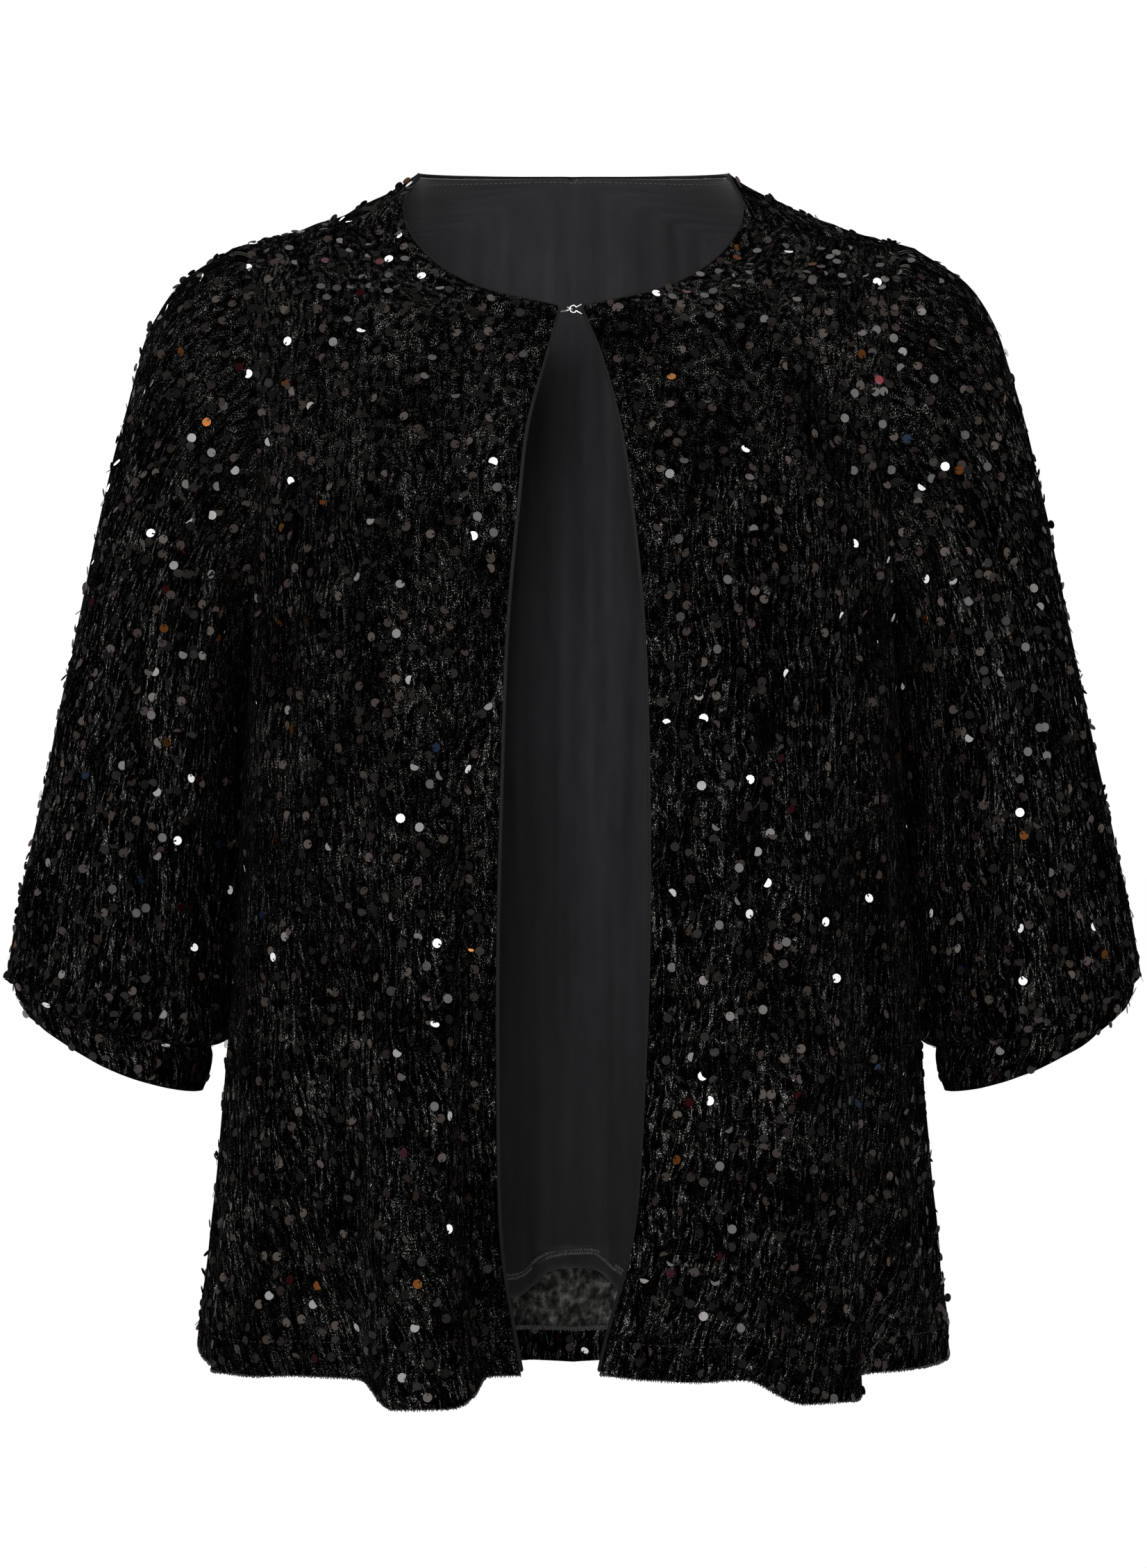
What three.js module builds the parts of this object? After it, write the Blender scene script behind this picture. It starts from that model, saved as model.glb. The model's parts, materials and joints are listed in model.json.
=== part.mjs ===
// A lined velvet cardigan, filled out as if worn: open fronts held by one hook and eye at the neck,
// forward shoulder seams, and three-quarter balloon sleeves on turned-up cuffs.
// Millimetres. +X is to the viewer's right, -Y is towards the viewer, +Z is up. The origin is the middle
// of the neck, level with the tops of the shoulders, where the wearer carries the garment.
// "left" and "right" are the wearer's, so the right front is on the viewer's left.
import * as THREE from "three";

// Cloth and sewing
const VELVET_WALL = 1.6;
const LINING_WALL = 1.0;
const SEAM_GAP = 0.3;
const HEM_TURN_UP = 18.5;
const HEM_TURN_UP_WALL = 1.2;
const FRONT_EDGE_ROLL = 2.8;
const NECK_EDGE_ROLL = 1.5;
const EDGING_WALL = 1.2;
const EDGING_TRIM = 0.08;

// Heights
const SIDE_HEM_Z = -664;
const BACK_HEM_Z = -689;
const UNDERARM_Z = -255;
const BUST_Z = -262;
const NECK_FRONT_Z = -84;
const NECK_BACK_Z = 5;

// Armhole: an upright oval at the end of each shoulder, bowed in a little at its middle
const ARMHOLE_MIDDLE_Z = -148.5;
const ARMHOLE_HALF_HEIGHT = 106.5;
const ARMHOLE_MIDDLE_Y = 2;
const ARMHOLE_FRONT_DEPTH = 72;
const ARMHOLE_BACK_DEPTH = 70;
const ARMHOLE_WAIST_X = 172;
const SHOULDER_TIP_OUT = 19;
const UNDERARM_OUT = 9;
const UNDERARM_RIM_TURN = 2.5;

// How full the body is between its middle and its side: 1.66 is an ellipse, more is squarer
const FRONT_FULLNESS = 1.76;
const BACK_FULLNESS = 1.72;
const BUST_DRAPE = 13;
const BUST_X = 92;
const BUST_SPREAD = 46;
const BUST_TOP_Z = -105;
const BUST_FULL_Z = -235;

// How a row of cloth leaves the neck and arrives at the armhole: shares of the straight way between them
const ARMHOLE_OUTWARDS = 0.8;
const STRAIGHT_FROM = 0.5;
const SHOULDER_STEEP_AT_NECK = 1.7;
const SHOULDER_STEEP_AT_ARM = 0.7;

// Steps of the cloth sections
const ROWS_BELOW = 9;
const ROWS_ABOVE = 13;
const NECK_FRONT_ROW = 8;
const NECK_BACK_ROW = 10;
const SEAM_ROW = 12;
const COLUMNS = 16;
const SLEEVE_RINGS = 9;
const RINGS_CLOSER_AT_TOP = 1.35;

// The two front edges: their distance from the middle and how far forward they hang, by height
const FRONT_EDGES = [
  { z: -654, right: 27.5, left: 13.5, forward: 161 },
  { z: -632, right: 31.5, left: 18.5, forward: 160 },
  { z: -599, right: 37, left: 28, forward: 159 },
  { z: -570, right: 39.5, left: 33.5, forward: 158 },
  { z: -510, right: 40.5, left: 37.5, forward: 156 },
  { z: -426, right: 40.5, left: 40.5, forward: 154 },
  { z: -343, right: 38.5, left: 40.5, forward: 152 },
  { z: -260, right: 35.5, left: 38, forward: 148 },
  { z: -191, right: 29.5, left: 31.5, forward: 137 },
  { z: -150, right: 25, left: 25.5, forward: 121 },
  { z: -110, right: 14.5, left: 15, forward: 101 },
  { z: -84, right: 7.5, left: 4.5, forward: 90 },
];

// Half the width at the side seam, and the depth of the middle of the back, by height
const BODY = [
  { z: -690, side: 213, back: 151 },
  { z: -600, side: 204, back: 144 },
  { z: -500, side: 194.5, back: 137 },
  { z: -400, side: 188, back: 131 },
  { z: -300, side: 183, back: 126 },
  { z: -255, side: 180.5, back: 123 },
  { z: -180, side: 180, back: 114 },
  { z: -100, side: 180, back: 99 },
  { z: -40, side: 180, back: 79 },
  { z: 5, side: 180, back: 58 },
];

// The neckline from the middle of the front (along: 0) over to the top of the shoulder (along: 1)
const NECKLINE = [
  { along: 0, x: 7, y: -90, z: -84 },
  { along: 0.33, x: 52, y: -75, z: -71.5 },
  { along: 0.6, x: 81, y: -46, z: -51 },
  { along: 0.82, x: 95.5, y: -20, z: -24 },
  { along: 1, x: 88, y: 9, z: 1 },
];

// The sleeve from the armhole (along: 0) to its fullest ring: its outer line, its inner line and half its depth
const SLEEVE = [
  { along: 0, outX: 191, outZ: -42, inX: 181.4, inZ: -255, depth: 71 },
  { along: 0.08, outX: 218, outZ: -60, inX: 183.5, inZ: -268, depth: 71 },
  { along: 0.13, outX: 232, outZ: -78, inX: 184.5, inZ: -277, depth: 71 },
  { along: 0.2, outX: 242, outZ: -101, inX: 185.5, inZ: -290, depth: 71 },
  { along: 0.3, outX: 255, outZ: -150, inX: 187.5, inZ: -312, depth: 72 },
  { along: 0.45, outX: 270, outZ: -213, inX: 189.5, inZ: -346, depth: 74 },
  { along: 0.6, outX: 283, outZ: -277, inX: 191.5, inZ: -383, depth: 76 },
  { along: 0.75, outX: 296, outZ: -342, inX: 193.5, inZ: -421, depth: 78 },
  { along: 0.9, outX: 311, outZ: -408, inX: 196, inZ: -461, depth: 77 },
  { along: 1, outX: 318, outZ: -446, inX: 198, inZ: -484, depth: 72 },
];
const SLEEVE_FRONT_DROP = 7;
const SLEEVE_SEAM_FADE = 4;

// The cuff: where the full sleeve tucks under onto it, and its open end
const TUCK_RING = { outX: 314, outZ: -450, inX: 203.5, inZ: -489.5, depth: 64 };
const CUFF_HEM_RING = { outX: 309.5, outZ: -467, inX: 208.5, inZ: -515, depth: 56 };
const CUFF_RINGS = 2;
const CUFF_GATHERS = 6;
const CUFF_GATHER_DEPTH = 1.6;
const CUFF_GATHER_FROM = 0.72;

// Folds that stand out from the body and fade upwards. at, inner and outer are shares of the way round
// from the middle to the side seam, top is the row share where the fold has faded out (1 is the underarm).
// FOLD_FLAT is the flat share of a fold's reach, on each side of its middle.
const FRONT_RIGHT_FOLDS = [
  { at: 0.19, inner: 0.14, outer: 0.11, depth: 30, lean: 0.42, drop: 11, top: 0.95 },
  { at: 0.6, inner: 0.17, outer: 0.15, depth: 9, lean: 0, drop: 1, top: 1.3 },
];
const FRONT_LEFT_FOLDS = [
  { at: 0.4, inner: 0.16, outer: 0.11, depth: 30, lean: 0.42, drop: 9, top: 0.95 },
  { at: 0.1, inner: 0.1, outer: 0.13, depth: 5, lean: 0, drop: 1, top: 1.2 },
];
const FOLD_FLAT = 0.35;
const FOLD_FADE = 1.5;
const FOLD_TURN = 1.35;
const BACK_FOLDS = [
  { at: 0, inner: 0.16, outer: 0.16, depth: 20, lean: 0, drop: 0, top: 0.9 },
  { at: 0.47, inner: 0.15, outer: 0.13, depth: 24, lean: 0.25, drop: 4, top: 1.0 },
  { at: 0.8, inner: 0.12, outer: 0.12, depth: 10, lean: 0, drop: 2, top: 0.9 },
];

// The back lining: its distance inside the velvet, its own soft folds, and the arch of its hem
const LINING_CLEARANCE = 0.6;
const LINING_BILLOW = 4;
const LINING_FOLD_DEPTH = 2.2;
const LINING_FOLDS = 5;
const LINING_HEM_Z = -652;
const LINING_ARCH = 20;
const LINING_ARCH_SPREAD = 24;
const LINING_SIDE_COLUMNS = 1;

// Hook and eye of bent wire
const WIRE_RADIUS = 0.42;
const WIRE_SIDES = 6;
const WIRE_STEPS = 26;
const EYE_RADIUS = 1.9;
const EYE_OPENING = 0.62;
const EYE_LEGS_X = 4.4;
const EYE_LEGS_SPREAD = 2.6;
const HOOK_LEGS_X = -7;
const FASTENER_Z = -86;
const FASTENER_Y = -92.9;

// Colours
const VELVET = new THREE.MeshStandardMaterial({ color: 0x0b0b0c, roughness: 0.9, metalness: 0 });
const JERSEY = new THREE.MeshStandardMaterial({ color: 0x202024, roughness: 0.95, metalness: 0 });
const STEEL = new THREE.MeshStandardMaterial({ color: 0xc9c9cc, roughness: 0.3, metalness: 1 });

const lerp = THREE.MathUtils.lerp;
const smooth = THREE.MathUtils.smoothstep;

// Reads one column of a table at a value of its key column, on a smooth curve through the rows.
function read(table, key, column, at) {
  const rows = table[0][key] < table[table.length - 1][key] ? table : [...table].reverse();
  const last = rows.length - 1;
  const clamped = THREE.MathUtils.clamp(at, rows[0][key], rows[last][key]);
  let i = 0;
  while (i < last - 1 && rows[i + 1][key] < clamped) i += 1;
  const slope = (k) => {
    const a = rows[Math.max(k - 1, 0)];
    const b = rows[Math.min(k + 1, last)];
    return (b[column] - a[column]) / (b[key] - a[key]);
  };
  const span = rows[i + 1][key] - rows[i][key];
  const t = (clamped - rows[i][key]) / span;
  return hermite(rows[i][column], rows[i + 1][column], slope(i) * span, slope(i + 1) * span, t);
}

// The cubic from a to b that leaves with slope da and arrives with slope db.
function hermite(a, b, da, db, t) {
  const t2 = t * t;
  const t3 = t2 * t;
  return a * (2 * t3 - 3 * t2 + 1) + b * (3 * t2 - 2 * t3) + da * (t3 - 2 * t2 + t) + db * (t3 - t2);
}

function hermitePoint(a, b, da, db, t) {
  return new THREE.Vector3(
    hermite(a.x, b.x, da.x, db.x, t),
    hermite(a.y, b.y, da.y, db.y, t),
    hermite(a.z, b.z, da.z, db.z, t),
  );
}

// A point of the armhole at a share of the way up, 0 at the underarm and 1 at the shoulder.
// face is -1 in front and 1 behind.
function armhole(up, face) {
  const angle = Math.PI * (up - 0.5);
  const rise = Math.sin(angle);
  const out = rise > 0 ? SHOULDER_TIP_OUT : UNDERARM_OUT;
  const depth = face < 0 ? ARMHOLE_FRONT_DEPTH : ARMHOLE_BACK_DEPTH;
  return new THREE.Vector3(
    ARMHOLE_WAIST_X + out * rise * rise,
    ARMHOLE_MIDDLE_Y + face * depth * Math.cos(angle),
    ARMHOLE_MIDDLE_Z + ARMHOLE_HALF_HEIGHT * rise,
  );
}

// Where a row of the cloth starts, on the front edge and then the neckline.
// row runs from 0 to 1 below the underarm and from 1 to 2 above it.
function frontStart(side, row) {
  const name = side < 0 ? "right" : "left";
  const neckRow = 1 + NECK_FRONT_ROW / ROWS_ABOVE;
  const hemZ = FRONT_EDGES[0].z;
  if (row <= neckRow) {
    const z = row <= 1 ? lerp(hemZ, BUST_Z, row) : lerp(BUST_Z, NECK_FRONT_Z, (row - 1) / (neckRow - 1));
    return new THREE.Vector3(read(FRONT_EDGES, "z", name, z), -read(FRONT_EDGES, "z", "forward", z), z);
  }
  const along = (row - neckRow) / (2 - neckRow);
  const tip = FRONT_EDGES[FRONT_EDGES.length - 1][name] - NECKLINE[0].x;
  return new THREE.Vector3(
    read(NECKLINE, "along", "x", along) + tip * (1 - along) ** 3,
    read(NECKLINE, "along", "y", along),
    read(NECKLINE, "along", "z", along),
  );
}

// The same for the back: up its middle, then along the back of the neck.
function backStart(row) {
  const neckRow = 1 + NECK_BACK_ROW / ROWS_ABOVE;
  if (row <= neckRow) {
    const z = row <= 1 ? lerp(BACK_HEM_Z, BUST_Z, row) : lerp(BUST_Z, NECK_BACK_Z, (row - 1) / (neckRow - 1));
    return new THREE.Vector3(0, read(BODY, "z", "back", z), z);
  }
  const top = NECKLINE[NECKLINE.length - 1];
  const turn = (Math.PI / 2) * ((row - neckRow) / (2 - neckRow));
  const nape = read(BODY, "z", "back", NECK_BACK_Z);
  return new THREE.Vector3(
    top.x * Math.sin(turn),
    top.y + (nape - top.y) * Math.cos(turn),
    lerp(NECK_BACK_Z, top.z, 1 - Math.cos(turn)),
  );
}

// Where a row ends: on the side seam below the underarm, on the armhole above it.
function rowEnd(row, face) {
  if (row > 1) return armhole(row - 1, face);
  const z = lerp(SIDE_HEM_Z, UNDERARM_Z, row);
  return new THREE.Vector3(read(BODY, "z", "side", z), ARMHOLE_MIDDLE_Y, z);
}

// How far a fold stands out at a place on the body, from 0 to 1.
function foldShape(fold, share, row) {
  const reach = share < fold.at ? fold.inner : fold.outer;
  const across = Math.min(Math.abs(share - fold.at) / reach, 1);
  const fade = Math.max(1 - row / fold.top, 0) ** FOLD_FADE;
  return (1 - smooth(across, FOLD_FLAT, 1)) * fade;
}

// The outer face of the velvet body, before the right half is mirrored: share 0 is the middle and 1 the side.
// folded false gives the same surface without its standing folds.
function bodyPoint(face, side, share, row, folded = true) {
  const start = face < 0 ? frontStart(side, row) : backStart(row);
  const end = rowEnd(row, face);
  const chord = end.clone().sub(start);
  const fullness = face < 0 ? FRONT_FULLNESS : BACK_FULLNESS;
  const above = Math.max(row - 1, 0);
  const straight = smooth(above, STRAIGHT_FROM, 1);
  const outwards = ARMHOLE_OUTWARDS * smooth(above, 0, STRAIGHT_FROM);
  const leave = new THREE.Vector3(fullness * chord.x, 0, chord.z);
  const arrive = new THREE.Vector3(outwards * chord.x, fullness * chord.y, chord.z);
  leave.lerp(new THREE.Vector3(chord.x, chord.y, chord.z * SHOULDER_STEEP_AT_NECK), straight);
  arrive.lerp(new THREE.Vector3(chord.x, chord.y, chord.z * SHOULDER_STEEP_AT_ARM), straight);
  const point = hermitePoint(start, end, leave, arrive, share);

  if (face < 0) {
    const across = Math.exp(-(((point.x - BUST_X) / BUST_SPREAD) ** 2));
    const below = 1 - smooth(point.z, BUST_FULL_Z, BUST_TOP_Z);
    const atEdges = smooth(share, 0, 0.12) * (1 - smooth(share, 0.75, 1));
    point.y -= BUST_DRAPE * across * below * atEdges;
  }
  if (!folded) return point;
  const folds = face > 0 ? BACK_FOLDS : side < 0 ? FRONT_RIGHT_FOLDS : FRONT_LEFT_FOLDS;
  const turn = share * FOLD_TURN;
  const facing = new THREE.Vector3(Math.sin(turn), face * Math.cos(turn), 0);
  const along = new THREE.Vector3(facing.y * -face, facing.x * face, 0);
  for (const fold of folds) {
    const out = foldShape(fold, share, row);
    point.addScaledVector(facing, fold.depth * out);
    point.addScaledVector(along, fold.depth * fold.lean * out);
    point.z -= fold.drop * out;
  }
  return point;
}

function mirrored(point, side) {
  return new THREE.Vector3(point.x * side, point.y, point.z);
}

const trianglesOf = (quads) => quads.flatMap(([a, b, c, d]) => [[a, b, c], [a, c, d]]);

// The direction into the cloth at each point, the average of the faces round it.
function inwardOf(points, quads) {
  const inward = points.map(() => new THREE.Vector3());
  for (const [a, b, c] of trianglesOf(quads)) {
    const normal = points[b].clone().sub(points[a]).cross(points[c].clone().sub(points[a]));
    for (const k of [a, b, c]) inward[k].sub(normal);
  }
  return inward.map((direction) => direction.normalize());
}

// A closed wall from its outer points and the quads between them, with an inner copy and a rim along every open
// edge. Where rims gives a direction for a point, the wall runs that way there instead of straight in.
function wall(points, quads, thickness, rims = new Map(), inward = inwardOf(points, quads)) {
  const inner = points.map((p, k) => p.clone().addScaledVector(rims.get(k) ?? inward[k], thickness));
  const triangles = trianglesOf(quads);
  const count = points.length;
  const faces = [];
  const edges = new Set(triangles.flatMap(([a, b, c]) => [`${a},${b}`, `${b},${c}`, `${c},${a}`]));
  for (const [a, b, c] of triangles) {
    faces.push(a, b, c, a + count, c + count, b + count);
    for (const [p, q] of [[a, b], [b, c], [c, a]]) {
      if (!edges.has(`${q},${p}`)) faces.push(q, p, p + count, q, p + count, q + count);
    }
  }
  const geometry = new THREE.BufferGeometry();
  geometry.setFromPoints([...points, ...inner]);
  geometry.setIndex(faces);
  return geometry;
}

// The quads of a grid whose point in row i and column j is at(i, j); turned walks them the other way round.
function gridQuads(rows, columns, at, turned) {
  const quads = [];
  for (let i = 0; i < rows; i += 1) {
    for (let j = 0; j < columns; j += 1) {
      const quad = [at(i, j), at(i, j + 1), at(i + 1, j + 1), at(i + 1, j)];
      quads.push(turned ? quad.reverse() : quad);
    }
  }
  return quads;
}

// The row share of grid row i: row 0 is the hem, row 1 the line that its turn-up is stitched along.
function rowShare(i) {
  const stitching = HEM_TURN_UP / (UNDERARM_Z - SIDE_HEM_Z);
  if (i < 1) return i * stitching;
  if (i <= ROWS_BELOW) return lerp(stitching, 1, (i - 1) / (ROWS_BELOW - 1));
  return 1 + (i - ROWS_BELOW) / ROWS_ABOVE;
}

// Directions in which the walls run at their seams, shared by both pieces of a seam so that they lie side by side.
const sideSeamRim = (side) => new THREE.Vector3(-side, 0, 0);
const shoulderSeamRim = (side) => new THREE.Vector3(-0.35 * side, 0, -0.94).normalize();
const armholeRim = (point) =>
  new THREE.Vector3(0, ARMHOLE_MIDDLE_Y - point.y, ARMHOLE_MIDDLE_Z - point.z).normalize();

// At the underarm the body's wall turns away from the sleeve, because its side hangs in the armhole's own plane.
function bodyArmholeRim(point, side) {
  const rim = armholeRim(point);
  rim.x = -side * UNDERARM_RIM_TURN * Math.max(rim.z, 0);
  return rim.normalize();
}

// The grid of one front: from its open edge and half the neckline to the side seam, the armhole and the shoulder.
function frontGrid(side) {
  const lastRow = ROWS_BELOW + SEAM_ROW;
  const points = [];
  const at = (i, j) => i * (COLUMNS + 1) + j;
  for (let i = 0; i <= lastRow; i += 1) {
    for (let j = 0; j <= COLUMNS; j += 1) {
      points.push(mirrored(bodyPoint(-1, side, j / COLUMNS, rowShare(i)), side));
    }
  }
  const quads = gridQuads(lastRow, COLUMNS, at, side < 0);
  return { points, quads, at, lastRow, inward: inwardOf(points, quads) };
}

function frontPanel(side) {
  const { points, quads, at, lastRow } = frontGrid(side);
  const rims = new Map();
  for (let j = 0; j <= COLUMNS; j += 1) {
    points[at(lastRow, j)].y -= SEAM_GAP / 2;
    rims.set(at(lastRow, j), shoulderSeamRim(side));
  }
  for (let i = 0; i <= lastRow; i += 1) {
    const point = points[at(i, COLUMNS)];
    if (i <= ROWS_BELOW) point.y -= SEAM_GAP / 2;
    rims.set(at(i, COLUMNS), i < ROWS_BELOW ? sideSeamRim(side) : bodyArmholeRim(point, side));
  }
  return wall(points, quads, VELVET_WALL, rims);
}

// A grid over the whole back, both sides of its middle. pointAt(side, share, i) gives its points, from one row to
// another and out to a column. Each place keeps the side, row and column that its point came from.
function backSheet(fromRow, toRow, columns, pointAt) {
  const points = [];
  const places = [];
  const index = new Map();
  const neckRow = ROWS_BELOW + NECK_BACK_ROW;
  const key = (side, i, j) => (j === 0 && i <= neckRow ? `middle ${i}` : `${side} ${i} ${j}`);
  for (const side of [-1, 1]) {
    for (let i = fromRow; i <= toRow; i += 1) {
      for (let j = 0; j <= columns; j += 1) {
        if (index.has(key(side, i, j))) continue;
        index.set(key(side, i, j), points.length);
        places.push({ side, i, j });
        points.push(mirrored(pointAt(side, j / COLUMNS, i), side));
      }
    }
  }
  const at = (side, i, j) => index.get(key(side, i, j));
  const quads = [-1, 1].flatMap((side) =>
    gridQuads(toRow - fromRow, columns, (i, j) => at(side, i + fromRow, j), side > 0),
  );
  return { points, quads, places, at };
}

// The back runs from the hem up over the shoulders to the forward shoulder seams.
const BACK_TOP_ROW = ROWS_BELOW + ROWS_ABOVE + 1;
function backPoint(side, share, i) {
  if (i === BACK_TOP_ROW) return bodyPoint(-1, side, share, rowShare(ROWS_BELOW + SEAM_ROW));
  return bodyPoint(1, side, share, rowShare(i));
}

function backPanel() {
  const { points, quads, places } = backSheet(0, BACK_TOP_ROW, COLUMNS, backPoint);
  const rims = new Map();
  places.forEach(({ side, i, j }, k) => {
    const point = points[k];
    if (i === BACK_TOP_ROW) {
      point.y += SEAM_GAP / 2;
      rims.set(k, shoulderSeamRim(side));
    }
    if (j === COLUMNS) {
      if (i <= ROWS_BELOW) point.y += SEAM_GAP / 2;
      rims.set(k, i < ROWS_BELOW ? sideSeamRim(side) : bodyArmholeRim(point, side));
    }
  });
  return wall(points, quads, VELVET_WALL, rims);
}

// The turned-up hem of the back: the strip below the stitching line, moved in behind the panel's wall.
function backTurnUp() {
  const { points, quads } = backSheet(0, 1, COLUMNS - 1, backPoint);
  const inward = inwardOf(points, quads);
  const inside = points.map((p, k) => p.clone().addScaledVector(inward[k], VELVET_WALL + 2 * SEAM_GAP));
  return wall(inside, quads, HEM_TURN_UP_WALL, new Map(), inward);
}

// The jersey lining of the back, hanging free inside the velvet from the neck to its own arched hem.
function backLining() {
  const toRow = ROWS_BELOW + ROWS_ABOVE - 1;
  const columns = COLUMNS - LINING_SIDE_COLUMNS;
  const { points, quads, places } = backSheet(1, toRow, columns, (side, share, i) =>
    bodyPoint(1, side, share, rowShare(i), false),
  );
  const inward = inwardOf(points, quads);
  const moved = points.map((p, k) => {
    const { i, j } = places[k];
    const hang = 1 - smooth(rowShare(i), 1.2, 1.75);
    const soft = LINING_FOLD_DEPTH * (1 + Math.cos((LINING_FOLDS * Math.PI * j) / COLUMNS));
    const inside = VELVET_WALL + LINING_CLEARANCE + hang * (LINING_BILLOW + soft);
    const point = p.clone().addScaledVector(inward[k], inside);
    if (i === 1) point.z = LINING_HEM_Z + LINING_ARCH * Math.exp(-((point.x / LINING_ARCH_SPREAD) ** 2));
    return point;
  });
  return wall(moved, quads, LINING_WALL, new Map(), inward);
}

// A ring of the sleeve from its outer and inner lines; angle -90 degrees is the inner line and 90 the outer.
function ringPoint(ring, angle, face, frontDrop) {
  const rise = Math.sin(angle);
  return new THREE.Vector3(
    lerp(ring.inX, ring.outX, (1 + rise) / 2),
    face * ring.depth * Math.cos(angle),
    lerp(ring.inZ, ring.outZ, (1 + rise) / 2) - frontDrop * Math.cos(angle) ** 2,
  );
}

// The angles round a sleeve, up its front and down its back, in step with the rows of the body at the armhole.
const AROUND = [
  ...Array.from({ length: ROWS_ABOVE + 1 }, (_, k) => ({ up: k / ROWS_ABOVE, face: -1 })),
  ...Array.from({ length: ROWS_ABOVE - 1 }, (_, k) => ({ up: 1 - (k + 1) / ROWS_ABOVE, face: 1 })),
];

// A point of the sleeve: along 0 is the armhole and 1 the fullest ring above the cuff.
function sleevePoint(along, up, face) {
  const angle = Math.PI * (up - 0.5);
  const ring = Object.fromEntries(
    ["outX", "outZ", "inX", "inZ", "depth"].map((name) => [name, read(SLEEVE, "along", name, along)]),
  );
  const point = ringPoint(ring, angle, face, SLEEVE_FRONT_DROP * smooth(along, 0.55, 1));
  const seam = armhole(up, face);
  const start = ringPoint(SLEEVE[0], angle, face, 0);
  point.addScaledVector(seam.sub(start), (1 - along) ** SLEEVE_SEAM_FADE);
  const turn = face < 0 ? angle : Math.PI - angle;
  const gather = CUFF_GATHER_DEPTH * smooth(along, CUFF_GATHER_FROM, 1) * Math.cos(CUFF_GATHERS * turn);
  const middleX = (ring.inX + ring.outX) / 2;
  const middleZ = (ring.inZ + ring.outZ) / 2;
  const outward = new THREE.Vector3(point.x - middleX, point.y, point.z - middleZ).normalize();
  return point.addScaledVector(outward, gather);
}

// A tube wall from a list of rings of points, each ring going once round the sleeve.
function tube(rings, side, thickness, rims) {
  const around = AROUND.length;
  const at = (i, j) => i * around + (j % around);
  const points = rings.flat().map((p) => mirrored(p, side));
  return wall(points, gridQuads(rings.length - 1, around, at, side > 0), thickness, rims);
}

function sleeve(side) {
  const rings = [];
  for (let i = 0; i <= SLEEVE_RINGS; i += 1) {
    const along = (i / SLEEVE_RINGS) ** RINGS_CLOSER_AT_TOP;
    rings.push(AROUND.map(({ up, face }) => sleevePoint(along, up, face)));
  }
  rings.push(AROUND.map(({ up, face }) => ringPoint(TUCK_RING, Math.PI * (up - 0.5), face, SLEEVE_FRONT_DROP)));
  const rims = new Map();
  rings[0].forEach((point, k) => {
    point.x += SEAM_GAP;
    rims.set(k, armholeRim(point));
  });
  return tube(rings, side, VELVET_WALL, rims);
}

// The same ring moved on along the arm, square to its own plane.
function ringBelow(ring, distance) {
  const across = new THREE.Vector2(ring.outX - ring.inX, ring.outZ - ring.inZ).setLength(distance);
  return {
    outX: ring.outX + across.y,
    outZ: ring.outZ - across.x,
    inX: ring.inX + across.y,
    inZ: ring.inZ - across.x,
    depth: ring.depth,
  };
}

function cuff(side) {
  const top = ringBelow(TUCK_RING, SEAM_GAP);
  const rings = [];
  for (let i = 0; i <= CUFF_RINGS; i += 1) {
    const down = i / CUFF_RINGS;
    const ring = Object.fromEntries(
      Object.keys(top).map((name) => [name, lerp(top[name], CUFF_HEM_RING[name], down)]),
    );
    rings.push(AROUND.map(({ up, face }) => ringPoint(ring, Math.PI * (up - 0.5), face, SLEEVE_FRONT_DROP)));
  }
  return tube(rings, side, VELVET_WALL);
}

// A flat strip carried along the edge of a panel, a seam's gap outside it. Each place on the edge gives the panel's
// point there, the next point in from it, and the way into the cloth. The two ends stop just short of the seam.
function edgeStrip(places, widthAt, turned) {
  const edge = places.map(({ point }) => point.clone());
  const last = edge.length - 1;
  edge[0].lerp(edge[1], EDGING_TRIM);
  edge[last].lerp(edge[last - 1], EDGING_TRIM);
  const points = [];
  const inward = [];
  places.forEach(({ nextIn, into }, k) => {
    const along = edge[Math.min(k + 1, last)].clone().sub(edge[Math.max(k - 1, 0)]).normalize();
    const across = along.clone().cross(into).normalize();
    if (across.dot(edge[k].clone().sub(nextIn)) < 0) across.negate();
    points.push(edge[k].clone().addScaledVector(across, SEAM_GAP));
    points.push(edge[k].clone().addScaledVector(across, SEAM_GAP + widthAt(k)));
    inward.push(into, into);
  });
  const at = (i, j) => i * 2 + j;
  return wall(points, gridQuads(last, 1, at, turned), EDGING_WALL, new Map(), inward);
}

// The lining rolled out along a front edge and its half of the neckline, up to the shoulder seam.
function frontEdging(side) {
  const { points, inward, at } = frontGrid(side);
  const places = [];
  for (let i = 0; i <= ROWS_BELOW + SEAM_ROW; i += 1) {
    places.push({ point: points[at(i, 0)], nextIn: points[at(i, 1)], into: inward[at(i, 0)] });
  }
  const corner = ROWS_BELOW + NECK_FRONT_ROW;
  const widthAt = (k) => lerp(FRONT_EDGE_ROLL, NECK_EDGE_ROLL, smooth(k, corner - 3, corner));
  return edgeStrip(places, widthAt, side > 0);
}

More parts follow.
